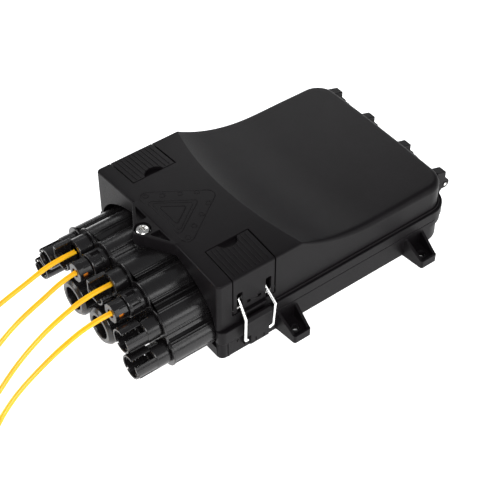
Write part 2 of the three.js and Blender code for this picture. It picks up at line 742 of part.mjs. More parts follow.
function mainNut(x) {
  const { z, r, hole, tip } = MAIN;
  return turnedY(x, z, [
    [hole + 1, -tip],
    [r - 2.2, -tip],
    [r, -tip + 2.4],
    [r, -36],
    [12.5, -36],
    [12.5, -51.4],
    [hole, -51.4],
    [hole, -tip + 1],
    [hole + 1, -tip],
  ], 22);
}

function mainBushing(x) {
  return turnedY(x, MAIN.z, [
    [7.6, -50.8],
    [10.5, -50.8],
    [10.5, -41.5],
    [7.6, -41.5],
    [7.6, -50.8],
  ], 16);
}

// ---------------------------------------------------------------- inside the box
function spliceTray() {
  const outer = prismZ(plan(52, 74, 187, 5, 9), 12, 21);
  const inner = prismZ(plan(50.4, 75.6, 185.4, 3.6, 7.6), 13.6, 30);
  const spools = [-26, 26].map((x) =>
    rodZ(x, 131, 15, 13, 20, 14).subtract(rodZ(x, 131, 13.4, 13.6, 30, 14)),
  );
  const ribs = [-6, -2, 2, 6].map((x) => box(x - 0.6, x + 0.6, 116, 146, 13, 18.6));
  return join([cut(outer, [inner]), ...spools, ...ribs]);
}

function trayCover() {
  const sheet = prismZ(plan(49.8, 76.2, 150, 3, 1), 21.4, 23);
  return cut(sheet, [rodZ(0, 78, 6, 20, 30, 14)]);
}

function splitterModule() {
  return box(-30, 30, 158, 166, 14, 20.6);
}

function adapterRail() {
  const rail = box(-52, 52, 40, 43, BASE.floor + GAP, 26);
  const seats = [-36, -12, 12, 36].map((x) => box(x - 5, x + 5, 35, 50, 11.6, 21.4));
  return cut(rail, seats);
}

function adapter(x) {
  const body = box(x - 4.6, x + 4.6, 30, 53, 12, 21);
  const flange = box(x - 6.6, x + 6.6, 37.4, 39.6, 11.2, 21.8);
  return cut(body.add(flange), [box(x - 3.4, x + 3.4, 29, 60, 13.2, 19.8)]);
}

// ---------------------------------------------------------------- drop cables
// Each cable leaves its port, droops to the surface and winds into a coil that ends in a plug.
const CABLES = [
  {
    name: "a",
    coil: [-84, -170],
    route: [
      [-30.1, -36, 48.3],
      [-30.1, -43.4, 48.3],
      [-30.1, -50, 48.3],
      [-30.1, -58, 48],
      [-30, -66, 47],
      [-30, -75, 44.6],
      [-30.2, -84, 41.4],
      [-30.8, -94, 37.6],
      [-32, -103, 33],
      [-34.6, -112, 26.6],
      [-38.6, -121, 18.6],
      [-44, -130, 10.6],
      [-50, -138, 5],
      [-55.6, -143, 2.6],
      [-60.4, -147.6, 2.1],
      [-63, -153.8, 2.1],
    ],
  },
  {
    name: "b",
    coil: [-28, -185],
    route: [
      [-11.2, -46.5, 51.1],
      [-11.2, -52, 51.1],
      [-11.2, -58, 50.6],
      [-11.2, -65, 49],
      [-11.2, -72, 46.4],
      [-11.2, -79, 43.2],
      [-11.2, -87.5, 39.6],
      [-11.2, -96, 35.8],
      [-11.2, -105.5, 30.4],
      [-11.2, -115, 23.4],
      [-11, -124, 16],
      [-10.4, -133, 9.2],
      [-9.4, -143, 4.4],
      [-8.2, -153, 2.4],
      [-7.2, -161, 2.1],
      [-7, -168.8, 2.1],
    ],
  },
  {
    name: "c",
    coil: [28, -200],
    route: [
      [11.2, -36, 51.1],
      [11.2, -43.4, 51.1],
      [11.2, -50, 51.1],
      [11.2, -57, 50.8],
      [11.2, -64, 49.8],
      [11.2, -71, 48],
      [11.2, -81, 44.4],
      [11.2, -91.6, 39.6],
      [11.2, -102, 33.4],
      [11.2, -113, 25.4],
      [11.4, -122, 17.6],
      [12.4, -131, 10],
      [15.4, -141, 4.6],
      [21.6, -151, 2.4],
      [30, -160, 2.1],
      [39, -167, 2.1],
      [46.4, -174.6, 2.1],
      [49, -183.8, 2.1],
    ],
  },
  {
    name: "d",
    coil: [84, -215],
    route: [
      [30.1, -46.5, 48.3],
      [30.1, -55.7, 48.3],
      [30.1, -63, 48.2],
      [30.1, -70, 47.6],
      [30.1, -78, 46],
      [30.1, -87, 43],
      [30.1, -96, 39.4],
      [30.1, -104.5, 35.2],
      [30.1, -114.5, 29.6],
      [30.1, -124.5, 23],
      [30.6, -133, 16.4],
      [32.6, -142, 9.6],
      [38, -151.6, 4.6],
      [47, -161, 2.4],
      [60, -170.6, 2.1],
      [74, -178.6, 2.1],
      [87, -184, 2.1],
      [97.4, -187.8, 2.1],
      [103.2, -192.4, 2.1],
      [105, -198.8, 2.1],
    ],
  },
];

function cableTube({ route }) {
  const points = route.map((p) => new THREE.Vector3(...p));
  const curve = new THREE.CatmullRomCurve3(points, false, "centripetal");
  return sweep(curve, CORD.r, 22, 6);
}

function cableCoil({ coil: [x, y] }) {
  return turnedZ(x, y, [
    [CORD.ringIn, 0.25],
    [CORD.ringOut, 0.25],
    [CORD.ringOut, CORD.ringHigh],
    [CORD.ringIn, CORD.ringHigh],
    [CORD.ringIn, 0.25],
  ], 20);
}

// the plug lies in front of its coil, pointing to -X from where the last turn leaves
function cablePlug({ coil: [cx, cy] }) {
  const y = cy - CORD.turnR;
  const x = cx - 16.9;
  const z = 4.2;
  const boot = new THREE.CylinderGeometry(2.4, 3.2, 19, 10);
  boot.rotateZ(-Math.PI / 2);
  boot.translate(x - 9.5, y, z);
  const body = box(x - 41, x - 18.6, y - 4.5, y + 4.5, z - 3.7, z + 3.7);
  const tip = box(x - 46, x - 40.6, y - 3.4, y + 3.4, z - 2.6, z + 2.6);
  return join([solid(boot), body, tip]);
}

// ---------------------------------------------------------------- the whole box
const model = new THREE.Group();
model.name = "fibre_termination_box";
model.position.set(0, PORT_REACH - LENGTH / 2, 0);

function place(name, body, material) {
  const { vertProperties, triVerts } = body.getMesh();
  const geometry = new THREE.BufferGeometry();
  geometry.setAttribute("position", new THREE.BufferAttribute(Float32Array.from(vertProperties), 3));
  geometry.setIndex(new THREE.BufferAttribute(Uint32Array.from(triVerts), 1));
  geometry.computeVertexNormals();
  const mesh = new THREE.Mesh(geometry, material);
  mesh.name = name;
  model.add(mesh);
}

place("base_tray", baseTray(), SHELL);
place("lid_cover", lidCover(), SHELL);
const gasketInner = plan(66.4, 12, 196.4, 1, 12);
const gasketRing = ring(plan(68.6, 8, 198.4, 2, 14.2), gasketInner, LEDGE.high + GAP, 17.8);
place("lid_gasket", cut(gasketRing, [box(-66.4, 66.4, 0, 14, 0, 40)]), RUBBER);

HINGE_X.forEach((x, i) => {
  const start = Math.min(x - HINGE.lug / 2, knuckleX(x)) - 0.6;
  const end = Math.max(x + HINGE.lug / 2, knuckleX(x) + HINGE.knuckle) + 0.6;
  const pin = rodX(HINGE.y, HINGE.z, HINGE.pinR, start, end, 12);
  place(`hinge_pin_${i + 1}`, pin, STEEL);
});

const sides = { right: (body) => body, left: mirrored };
for (const [side, turn] of Object.entries(sides)) {
  place(`latch_lever_${side}`, turn(latchLever()), SHELL);
  place(`latch_pin_${side}`, turn(latchPin()), STEEL);
  place(`latch_bail_${side}`, turn(latchBail()), STEEL);
}

place("lid_screw", lidScrew(), STEEL);
place("screw_washer", screwWasher(), STEEL);
place("screw_insert", screwInsert(), BRASS);

place("port_block", portBlock(), SATIN);
place("port_seal", portSeal(), RUBBER);
PORTS.forEach((port, i) => {
  for (const [name, body, material] of portPieces(port, i + 1)) place(name, body, material);
});
[-MAIN.x, MAIN.x].forEach((x, i) => {
  place(`main_port_nut_${i + 1}`, mainNut(x), SATIN);
  place(`main_port_bushing_${i + 1}`, mainBushing(x), RUBBER);
});

place("splice_tray", spliceTray(), GREY);
place("tray_cover", trayCover(), GREY);
place("splitter_module", splitterModule(), STEEL);
place("adapter_rail", adapterRail(), SATIN);
[-36, -12, 12, 36].forEach((x, i) => place(`fibre_adapter_${i + 1}`, adapter(x), GREEN));

for (const cable of CABLES) {
  place(`drop_cable_${cable.name}`, cableTube(cable), JACKET);
  place(`cable_coil_${cable.name}`, cableCoil(cable), JACKET);
  place(`cable_plug_${cable.name}`, cablePlug(cable), GREEN);
}

export default model;
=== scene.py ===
"""Fibre termination box: the visual model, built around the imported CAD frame.

Shapes are written in millimetres with Y = 0 on the lid's front wall, as in the CAD source,
and turned into metres in the row frame when a piece is made.
"""
import math

import bmesh
import bpy
from mathutils import Matrix, Vector


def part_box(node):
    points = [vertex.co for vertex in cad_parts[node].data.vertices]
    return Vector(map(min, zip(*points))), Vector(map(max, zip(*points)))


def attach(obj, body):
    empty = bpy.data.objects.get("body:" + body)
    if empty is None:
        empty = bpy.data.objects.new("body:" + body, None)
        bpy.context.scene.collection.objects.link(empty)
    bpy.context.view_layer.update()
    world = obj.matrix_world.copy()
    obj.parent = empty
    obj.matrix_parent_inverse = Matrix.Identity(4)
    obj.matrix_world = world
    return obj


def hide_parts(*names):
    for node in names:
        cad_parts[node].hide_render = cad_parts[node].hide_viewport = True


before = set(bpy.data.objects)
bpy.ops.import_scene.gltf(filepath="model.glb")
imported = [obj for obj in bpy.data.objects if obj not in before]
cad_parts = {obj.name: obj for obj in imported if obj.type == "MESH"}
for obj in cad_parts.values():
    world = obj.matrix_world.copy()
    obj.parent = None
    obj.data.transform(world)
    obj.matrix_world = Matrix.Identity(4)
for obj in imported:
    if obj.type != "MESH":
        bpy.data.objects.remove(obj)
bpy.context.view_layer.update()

MM = 0.001
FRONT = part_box("base_tray")[0][1]  # plane of the lid's front wall


def at(p):
    """A point in millimetres from the lid's front wall, as metres in the row frame."""
    return Vector((p[0] * MM, FRONT + p[1] * MM, p[2] * MM))


def placed(name, data):
    """A new object holding this data, in the scene."""
    obj = bpy.data.objects.new(name, data)
    bpy.context.scene.collection.objects.link(obj)
    return obj


# ------------------------------------------------------------------ camera
def make_camera():
    azimuth, elevation, roll = (math.radians(a) for a in (52.97, 44.99, -0.2))
    back = Vector((math.sin(azimuth) * math.cos(elevation), -math.cos(azimuth) * math.cos(elevation),
                   math.sin(elevation)))
    side = (-back).cross(Vector((0, 0, 1))).normalized()
    up = side.cross(-back)
    right = side * math.cos(roll) + up * math.sin(roll)
    top = up * math.cos(roll) - side * math.sin(roll)
    data = bpy.data.cameras.new("camera")
    data.lens, data.sensor_width = 100.24, 36
    data.clip_start, data.clip_end = 0.05, 20
    camera = placed("camera", data)
    where = at((11.1, 62.0, 28.0)) + back * 0.9196
    turn = Matrix((right, top, back)).transposed().to_4x4()
    camera.matrix_world = Matrix.Translation(where) @ turn
    bpy.context.scene.camera = camera


make_camera()


# ------------------------------------------------------------------ materials
def material(name, colour, rough, metal=0.0, grain=0.0, grain_mm=0.6, specular=0.5, drift=0.12,
             coat=0.0, streak=None):
    """Moulded plastic, rubber or metal: fine grain and a slow drift of tone."""
    mat = bpy.data.materials.new(name)
    mat.use_nodes = True
    nodes, links = mat.node_tree.nodes, mat.node_tree.links
    shader = nodes["Principled BSDF"]
    shader.inputs["Metallic"].default_value = metal
    shader.inputs["Specular IOR Level"].default_value = specular
    shader.inputs["Coat Weight"].default_value = coat
    shader.inputs["Coat Roughness"].default_value = 0.2
    where = nodes.new("ShaderNodeTexCoord")
    mapping = nodes.new("ShaderNodeMapping")
    if streak:
        mapping.inputs["Scale"].default_value = streak
    links.new(where.outputs["Object"], mapping.inputs["Vector"])

    def noise(size_mm):
        node = nodes.new("ShaderNodeTexNoise")
        node.inputs["Scale"].default_value = 1000 / size_mm
        node.inputs["Detail"].default_value = 2.0
        links.new(mapping.outputs["Vector"], node.inputs["Vector"])
        return node.outputs["Fac"]

    def spread(value, low, high, new_low=0.0, new_high=1.0):
        node = nodes.new("ShaderNodeMapRange")
        for key, number in zip(("From Min", "From Max", "To Min", "To Max"),
                               (low, high, new_low, new_high)):
            node.inputs[key].default_value = number
        links.new(value, node.inputs["Value"])
        return node.outputs["Result"]

    def mix(factor, first, second):
        node = nodes.new("ShaderNodeMix")
        node.data_type = "RGBA"
        links.new(factor, node.inputs[0])
        for socket, value in zip((node.inputs[6], node.inputs[7]), (first, second)):
            socket.default_value = (*value, 1)
        return node.outputs[2]

    dark = tuple(c * (1 - drift) for c in colour)
    light = tuple(min(c * (1 + drift), 1) for c in colour)
    tone = mix(spread(noise(28), 0.35, 0.65), dark, light)
    links.new(tone, shader.inputs["Base Color"])
    fine = noise(grain_mm)
    links.new(spread(fine, 0.3, 0.7, rough * 0.9, min(rough * 1.12, 1)), shader.inputs["Roughness"])
    if grain:
        bump = nodes.new("ShaderNodeBump")
        bump.inputs["Strength"].default_value = grain
        bump.inputs["Distance"].default_value = grain_mm * MM * 0.25
        links.new(fine, bump.inputs["Height"])
        links.new(bump.outputs["Normal"], shader.inputs["Normal"])
    return mat


SHELL = material("shell_black", (0.0048, 0.0040, 0.0047), 0.44, grain=0.3, grain_mm=0.7,
                 specular=0.11)
SATIN = material("satin_black", (0.0052, 0.0046, 0.005), 0.26, grain=0.05, grain_mm=2.5,
                 specular=0.5)
RUBBER = material("rubber_black", (0.006, 0.006, 0.0065), 0.75, grain=0.3, grain_mm=0.5)
STEEL = material("stainless", (0.74, 0.73, 0.71), 0.2, metal=1.0, grain=0.02, grain_mm=0.8,
                 drift=0.05, streak=(1, 6, 1))
WIRE = material("bright_wire", (0.86, 0.86, 0.85), 0.16, metal=1.0, grain=0.04, grain_mm=0.6,
                drift=0.04)
BRASS = material("brass_insert", (0.62, 0.44, 0.19), 0.3, metal=1.0, grain=0.06, drift=0.06)
AMBER = material("amber_seal", (0.85, 0.26, 0.02), 0.42, grain=0.1, drift=0.1, coat=0.2)
JACKET = material("yellow_jacket", (1.0, 0.52, 0.012), 0.36, grain=0.12, grain_mm=1.2,
                  drift=0.06, coat=0.15)
TRAY_GREY = material("tray_grey", (0.42, 0.44, 0.46), 0.4, grain=0.1, grain_mm=0.8, drift=0.04)
COVER_GREY = material("tray_cover", (0.55, 0.57, 0.6), 0.25, grain=0.06, drift=0.04, coat=0.3)
GREEN = material("connector_green", (0.02, 0.27, 0.075), 0.32, grain=0.08, drift=0.06)
WHITE = material("ferrule_white", (0.78, 0.78, 0.76), 0.25, drift=0.03)

MATERIAL_OF = {
    "shell": SHELL, "port_plastic": SATIN, "gasket": RUBBER, "steel": STEEL, "wire": WIRE,
    "insert_brass": BRASS, "amber_seal": AMBER, "tray": TRAY_GREY, "tray_clear": COVER_GREY,
    "adapter_green": GREEN, "jacket": JACKET, "plug_green": GREEN,
}


# ------------------------------------------------------------------ outlines
def fillet(points, radius, steps=6):
    """A closed outline with its corners rounded; radius is one number, or one for each corner."""
    count = len(points)
    radii = radius if isinstance(radius, (list, tuple)) else [radius] * count
    out = []
    for i, r in enumerate(radii):
        here = Vector(points[i])
        before = Vector(points[i - 1]) - here
        after = Vector(points[(i + 1) % count]) - here
        if r <= 0:
            out.append(tuple(here))
            continue
        half = before.angle(after) / 2
        reach = min(r / math.tan(half), before.length * 0.49, after.length * 0.49)
        r = reach * math.tan(half)
        a, b = before.normalized(), after.normalized()
        centre = here + (a + b).normalized() * (r / math.sin(half))
        first, last = here + a * reach - centre, here + b * reach - centre
        sweep = first.angle_signed(last)
        for k in range(steps + 1):
            turned = first.copy()
            turned.rotate(Matrix.Rotation(-sweep * k / steps, 2))
            out.append(tuple(centre + turned))
    return out


def circle(u, v, r, n=32, start=0.0):
    return [(u + r * math.cos(start + math.tau * i / n), v + r * math.sin(start + math.tau * i / n))
            for i in range(n)]


def sector(u, v, outer, inner, low, high, n=12):
    """Part of a ring between two angles in degrees."""
    angles = [math.radians(low + (high - low) * i / n) for i in range(n + 1)]
    out = [(u + outer * math.cos(a), v + outer * math.sin(a)) for a in angles]
    return out + [(u + inner * math.cos(a), v + inner * math.sin(a)) for a in reversed(angles)]


def rect(u0, u1, v0, v1, r=0.0, steps=4):
    points = [(u0, v0), (u1, v0), (u1, v1), (u0, v1)]
    return fillet(points, r, steps) if r else points


def plan(half, front, rear, front_r, rear_r, steps=12):
    """The box's outline seen from above, with its own front and rear corner radii."""
    points = [(-half, front), (half, front), (half, rear), (-half, rear)]
    return fillet(points, [front_r, front_r, rear_r, rear_r], steps)


def area(outline):
    return sum(a[0] * b[1] - b[0] * a[1] for a, b in zip(outline, outline[1:] + outline[:1])) / 2


def inset(outline, distance):
    """The outline moved inwards by a distance, with mitred corners."""
    turn = 1 if area(outline) > 0 else -1
    out = []
    count = len(outline)
    for i in range(count):
        here = Vector(outline[i])
        a = (here - Vector(outline[i - 1])).normalized()
        b = (Vector(outline[(i + 1) % count]) - here).normalized()
        normal = Vector((-(a.y + b.y), a.x + b.x)) * turn
        if normal.length < 1e-6:
            normal = Vector((-a.y, a.x)) * turn
        normal.normalize()
        stretch = 1 / max(normal.dot(Vector((-a.y, a.x)) * turn), 0.35)
        out.append(tuple(here + normal * distance * stretch))
    return out


# ------------------------------------------------------------------ solids
PLACE = {
    "x": lambda u, v, w: (w, u, v),
    "y": lambda u, v, w: (u, w, v),
    "z": lambda u, v, w: (u, v, w),
}


def skin(rings, closed=False):
    """A closed solid from a stack of rings of points, capped at both ends unless it closes on itself."""
    bm = bmesh.new()
    rows = [[bm.verts.new(p) for p in ring] for ring in rings]
    pairs = list(zip(rows, rows[1:] + rows[:1])) if closed else list(zip(rows, rows[1:]))
    for low, high in pairs:
        for i in range(len(low)):
            j = (i + 1) % len(low)
            bm.faces.new((low[i], low[j], high[j], high[i]))
    if not closed:
        bm.faces.new(list(reversed(rows[0])))
        bm.faces.new(rows[-1])
    bmesh.ops.recalc_face_normals(bm, faces=bm.faces)
    return bm


def prism(axis, outline, a, b, r=0.0, r_end=None, steps=2):
    """An outline pushed along an axis from a to b, with both end edges rounded by r."""
    r_end = r if r_end is None else r_end
    rings = []

    def ends(radius, where, sign, order):
        for k in order:
            angle = math.pi / 2 * k / steps
            rings.append((radius * (1 - math.sin(angle)), where + sign * radius * (1 - math.cos(angle))))

    if r:
        ends(r, a, 1, range(0, steps + 1))
    else:
        rings.append((0, a))
    if r_end:
        ends(r_end, b, -1, range(steps, -1, -1))
    else:
        rings.append((0, b))
    put = PLACE[axis]
    return skin([[put(u, v, w) for u, v in (inset(outline, d) if d else outline)] for d, w in rings])


def rod(axis, u, v, r, a, b, n=32, edge=0.0):
    return prism(axis, circle(u, v, r, n), a, b, edge)


def block(x0, x1, y0, y1, z0, z1, r=0.0, edge=0.0):
    return prism("z", rect(x0, x1, y0, y1, r), z0, z1, edge)


def turned(axis, u, v, profile, n=48):
    """A turned solid; profile pairs are radius and place along the axis, closed or ending at radius 0."""
    put = PLACE[axis]
    bm = bmesh.new()
    loop = profile[0][0] > 1e-6
    rows = []
    for r, w in profile:
        if r <= 1e-6:
            rows.append([bm.verts.new(put(u, v, w))])
        else:
            rows.append([bm.verts.new(put(p, q, w)) for p, q in circle(u, v, r, n)])
    pairs = list(zip(rows, rows[1:] + (rows[:1] if loop else [])))
    if not loop:
        pairs = pairs[: len(rows) - 1]
    for low, high in pairs:
        for i in range(n):
            j = (i + 1) % n
            corners = [low[i % len(low)], low[j % len(low)], high[j % len(high)], high[i % len(high)]]
            unique = list(dict.fromkeys(corners))
            if len(unique) > 2:
                bm.faces.new(unique)
    bmesh.ops.recalc_face_normals(bm, faces=bm.faces)
    return bm


def mirrored(bm):
    other = bm.copy()
    bmesh.ops.scale(other, vec=(-1, 1, 1), verts=other.verts)
    bmesh.ops.reverse_faces(other, faces=other.faces)
    return other


def shifted(bm, offset):
    bmesh.ops.translate(bm, vec=offset, verts=bm.verts)
    return bm


def turn_about(bm, centre, axis, degrees):
    turn = Matrix.Rotation(math.radians(degrees), 3, axis)
    bmesh.ops.rotate(bm, cent=centre, matrix=turn, verts=bm.verts)
    return bm


def temporary(bm):
    mesh = bpy.data.meshes.new("tmp")
    bm.to_mesh(mesh)
    bm.free()
    return placed("tmp", mesh)


def discard(objects):
    for obj in objects:
        mesh = obj.data
        bpy.data.objects.remove(obj)
        bpy.data.meshes.remove(mesh)


def evaluated(obj):
    graph = bpy.context.evaluated_depsgraph_get()
    return bpy.data.meshes.new_from_object(obj.evaluated_get(graph))


def combine(bm, others, operation):
    """Joins, cuts or intersects a solid with others, one after another."""
    target = temporary(bm)
    tools = [temporary(other) for other in others]
    for tool in tools:
        change = target.modifiers.new("b", "BOOLEAN")
        change.operation, change.solver, change.object = operation, "EXACT", tool
    mesh = evaluated(target)
    out = bmesh.new()
    out.from_mesh(mesh)
    bpy.data.meshes.remove(mesh)
    discard([target, *tools])
    bmesh.ops.remove_doubles(out, verts=out.verts, dist=0.002)
    bmesh.ops.dissolve_degenerate(out, edges=out.edges, dist=0.002)
    return out


def joined(bm, *others):
    return combine(bm, others, "UNION")


def cut(bm, *others):
    return combine(bm, others, "DIFFERENCE")


def merged(*parts):
    """Separate closed solids kept in one mesh."""
    out = bmesh.new()
    for part in parts:
        mesh = bpy.data.meshes.new("tmp")
        part.to_mesh(mesh)
        part.free()
        out.from_mesh(mesh)
        bpy.data.meshes.remove(mesh)
    return out


def piece(name, bm, body, nodes=(), slot=None, mat=None, edge=0.0, sharp=38, flat=0.15):
    """Makes a piece from a solid in millimetres: rounds its hard edges and smooths its normals."""
    if flat:
        bmesh.ops.dissolve_limit(bm, angle_limit=math.radians(flat), verts=bm.verts, edges=bm.edges)
    bmesh.ops.scale(bm, vec=(MM, MM, MM), verts=bm.verts)
    bmesh.ops.translate(bm, vec=(0, FRONT, 0), verts=bm.verts)
    obj = temporary(bm)
    if edge:
        bevel = obj.modifiers.new("edge", "BEVEL")
        bevel.width, bevel.segments = edge * MM, 2
        bevel.limit_method, bevel.angle_limit = "ANGLE", math.radians(30)
        bevel.use_clamp_overlap, bevel.loop_slide = False, True
        bevel.miter_outer = "MITER_ARC"
        bevel.offset_type = "OFFSET"
    mesh = evaluated(obj)
    discard([obj])
    for vertex in mesh.vertices:  # a rounded edge may dip a hair under the surface the box stands on
        vertex.co.z = max(vertex.co.z, 0.0)
    mesh.name = name
    mesh.shade_smooth()
    mesh.set_sharp_from_angle(angle=math.radians(sharp))
    out = placed(name, mesh)
    normals = out.modifiers.new("normals", "WEIGHTED_NORMAL")
    normals.keep_sharp, normals.weight = True, 80
    mesh.materials.clear()
    mesh.materials.append(mat or MATERIAL_OF[slot])
    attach(out, body)
    if nodes:
        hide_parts(*nodes)
    return out


# ------------------------------------------------------------------ drop cables
CABLE_WIDE, CABLE_THICK = 3.8, 2.2
COILS = {"a": (-84, -170), "b": (-28, -185), "c": (28, -200), "d": (84, -215)}
ROUTES = {
    "a": [(-30.1, -36, 48.3), (-30.1, -43.4, 48.3), (-30.1, -50, 48.3), (-30.1, -58, 48),
          (-30, -66, 47), (-30, -75, 44.6), (-30.2, -84, 41.4), (-30.8, -94, 37.6),
          (-32, -103, 33), (-34.6, -112, 26.6), (-38.6, -121, 18.6), (-44, -130, 10.6),
          (-50, -138, 5), (-55.6, -143, 2.6), (-60.4, -147.6, 2.25), (-63, -153.8, 2.25)],
    "b": [(-11.2, -46.5, 51.1), (-11.2, -52, 51.1), (-11.2, -58, 50.6), (-11.2, -65, 49),
          (-11.2, -72, 46.4), (-11.2, -79, 43.2), (-11.2, -87.5, 39.6), (-11.2, -96, 35.8),
          (-11.2, -105.5, 30.4), (-11.2, -115, 23.4), (-11, -124, 16), (-10.4, -133, 9.2),
          (-9.4, -143, 4.4), (-8.2, -153, 2.4), (-7.2, -161, 2.25), (-7, -168.8, 2.25)],
    "c": [(11.2, -36, 51.1), (11.2, -43.4, 51.1), (11.2, -50, 51.1), (11.2, -57, 50.8),
          (11.2, -64, 49.8), (11.2, -71, 48), (11.2, -81, 44.4), (11.2, -91.6, 39.6),
          (11.2, -102, 33.4), (11.2, -113, 25.4), (11.4, -122, 17.6), (12.4, -131, 10),
          (15.4, -141, 4.6), (21.6, -151, 2.4), (30, -160, 2.25), (39, -167, 2.25),
          (46.4, -174.6, 2.25), (49, -183.8, 2.25)],
    "d": [(30.1, -46.5, 48.3), (30.1, -55.7, 48.3), (30.1, -63, 48.2), (30.1, -70, 47.6),
          (30.1, -78, 46), (30.1, -87, 43), (30.1, -96, 39.4), (30.1, -104.5, 35.2),
          (30.1, -114.5, 29.6), (30.1, -124.5, 23), (30.6, -133, 16.4), (32.6, -142, 9.6),
          (38, -151.6, 4.6), (47, -161, 2.4), (60, -170.6, 2.25), (74, -178.6, 2.25),
          (87, -184, 2.25), (97.4, -187.8, 2.25), (103.2, -192.4, 2.25), (105, -198.8, 2.25)],
}
COIL_TURNS = 6.25


def spline(points, step):
    """A smooth curve through points (centripetal Catmull-Rom), as points about a step apart."""
    p = [Vector(q) for q in points]
    p = [p[0] * 2 - p[1], *p, p[-1] * 2 - p[-2]]
    out = []
    for a, b, c, d in zip(p, p[1:], p[2:], p[3:]):
        t0 = 0.0
        t1 = t0 + (b - a).length ** 0.5
        t2 = t1 + (c - b).length ** 0.5
        t3 = t2 + (d - c).length ** 0.5
        pieces_here = max(round((c - b).length / step), 1)
        for k in range(pieces_here):
            t = t1 + (t2 - t1) * k / pieces_here
            a1 = a * ((t1 - t) / (t1 - t0)) + b * ((t - t0) / (t1 - t0))
            a2 = b * ((t2 - t) / (t2 - t1)) + c * ((t - t1) / (t2 - t1))
            a3 = c * ((t3 - t) / (t3 - t2)) + d * ((t - t2) / (t3 - t2))
            b1 = a1 * ((t2 - t) / (t2 - t0)) + a2 * ((t - t0) / (t2 - t0))
            b2 = a2 * ((t3 - t) / (t3 - t1)) + a3 * ((t - t1) / (t3 - t1))
            out.append(b1 * ((t2 - t) / (t2 - t1)) + b2 * ((t - t1) / (t2 - t1)))
    out.append(p[-2])
    return out


def ease(t):
    t = min(max(t, 0.0), 1.0)
    return t * t * (3 - 2 * t)


def coil_points(cx, cy):
    """Turns wound clockwise: inwards on the surface, up, and outwards on top; then out to the plug."""
    outer, pitch, low, high = 23.4, 2.4, 2.25, 6.2
    out = []
    count = int(COIL_TURNS * 40)
    for i in range(1, count + 1):
        turns = i / 40
        inwards = min(turns, 2.0) * pitch
        outwards = min(max(turns - 3.2, 0), 2.0) * pitch
        r = outer - inwards + outwards
        leaving = ease((turns - 5.9) / 0.35)
        z = low + (high - low) * ease((turns - 2.7) / 0.5) - 1.0 * leaving
        angle = -math.tau * turns
        out.append(Vector((cx + r * math.cos(angle), cy + r * math.sin(angle), z)))
    out += [Vector((cx - x, cy - y, z)) for x, y, z in
            ((4, 23.1, 4.9), (8, 22.4, 4.6), (12, 21.6, 4.35), (15, 21.1, 4.2), (18, 21, 4.2), (22, 21, 4.2))]
    return out


def flat_section():
    """A flat jacket's section with rounded edges and a groove along each wide face."""
    half, thick, dip = CABLE_WIDE / 2, CABLE_THICK / 2, 0.7
    top = [(half - 0.6, thick), (0.62, thick), (0.3, thick - dip), (-0.3, thick - dip),
           (-0.62, thick), (-half + 0.6, thick)]
    left = [(-half + 0.3, thick - 0.36), (-half, 0.25), (-half, -0.25), (-half + 0.3, -thick + 0.36)]
    bottom = [(-x, -y) for x, y in top]
    right = [(-x, -y) for x, y in left]
    return top + left + bottom + right


def sweep_section(points, section, on_edge):
    """A section swept along points; on_edge gives its turn from lying flat (0) to on edge (1)."""
    rings = []
    count = len(points)
    for i, p in enumerate(points):
        ahead = (points[min(i + 1, count - 1)] - points[max(i - 1, 0)]).normalized()
        side = ahead.cross(Vector((0, 0, 1))).normalized()
        up = side.cross(ahead).normalized()
        angle = math.pi / 2 * on_edge(i / (count - 1))
        wide = side * math.cos(angle) + up * math.sin(angle)
        thin = up * math.cos(angle) - side * math.sin(angle)
        rings.append([tuple(p + wide * u + thin * v) for u, v in section])
    return skin(rings)


def plug(name, cx, cy):
    """A pull-and-click optical plug lying in front of its coil, pointing to -X."""
    y, z, x = cy - 21, 4.2, cx - 16.9
    rings = []
    for i in range(13):
        w = x - 19 * i / 12
        r = 2.4 + 0.8 * i / 12 - (0.35 if i % 2 else 0)
        rings += [[(w - 0.02, y + r * math.cos(a), z + r * math.sin(a))
                   for a in (math.tau * k / 24 for k in range(24))]]
    boot = skin(rings)
    shell = prism("x", rect(y - 4.5, y + 4.5, z - 3.7, z + 3.7, 0.7), x - 41, x - 18.6, 0.5)
    grips = [block(x - 27 - 2.4 * i, x - 26 - 2.4 * i, y + s * 4.5 - 0.4, y + s * 4.5 + 0.4, z - 3, z + 3)
             for i in range(5) for s in (-1, 1)]
    window = block(x - 39, x - 31, y - 2.2, y + 2.2, z + 3.2, z + 5)
    shell = cut(shell, *grips, window)
    nose = prism("x", rect(y - 3.4, y + 3.4, z - 2.6, z + 2.6, 0.4), x - 46, x - 40.9, 0.3)
    nose = cut(nose, prism("x", rect(y - 2.6, y + 2.6, z - 1.9, z + 1.9, 0.2), x - 47, x - 42))
    whole = joined(shell, boot, nose)
    body = piece(name, whole, "base", [f"cable_plug_{name[-1]}"], "plug_green", edge=0.12)
    profile = [(0, x - 45.4), (0.9, x - 45.4), (1.25, x - 45.0), (1.25, x - 42.2), (0, x - 42.2)]
    tip = turned("x", y, z, profile, 24)
    ferrule = piece(f"plug_ferrule_{name[-1]}", tip, "base", mat=WHITE)
    return body, ferrule


def drop_cable(letter):
    cx, cy = COILS[letter]
    lead = ROUTES[letter] + [(cx + 22.9, cy + 6.5, 2.25)]
    points = spline(lead, 2.0)
    points.append(Vector((cx + 23.4, cy, 2.25)))
    start_coil = len(points)
    points += coil_points(cx, cy)
    total = len(points) - 1
    begin = (start_coil - 26) / total

    def on_edge(t):
        return ease((t - begin) / (22 / total))

    bm = sweep_section(points, flat_section(), on_edge)
    cable = piece(f"drop_cable_{letter}_jacket", bm, "base",
                  [f"drop_cable_{letter}", f"cable_coil_{letter}"], "jacket", sharp=32, flat=0)
    body, ferrule = plug(f"plug_{letter}", cx, cy)


for letter in "abcd":
    drop_cable(letter)

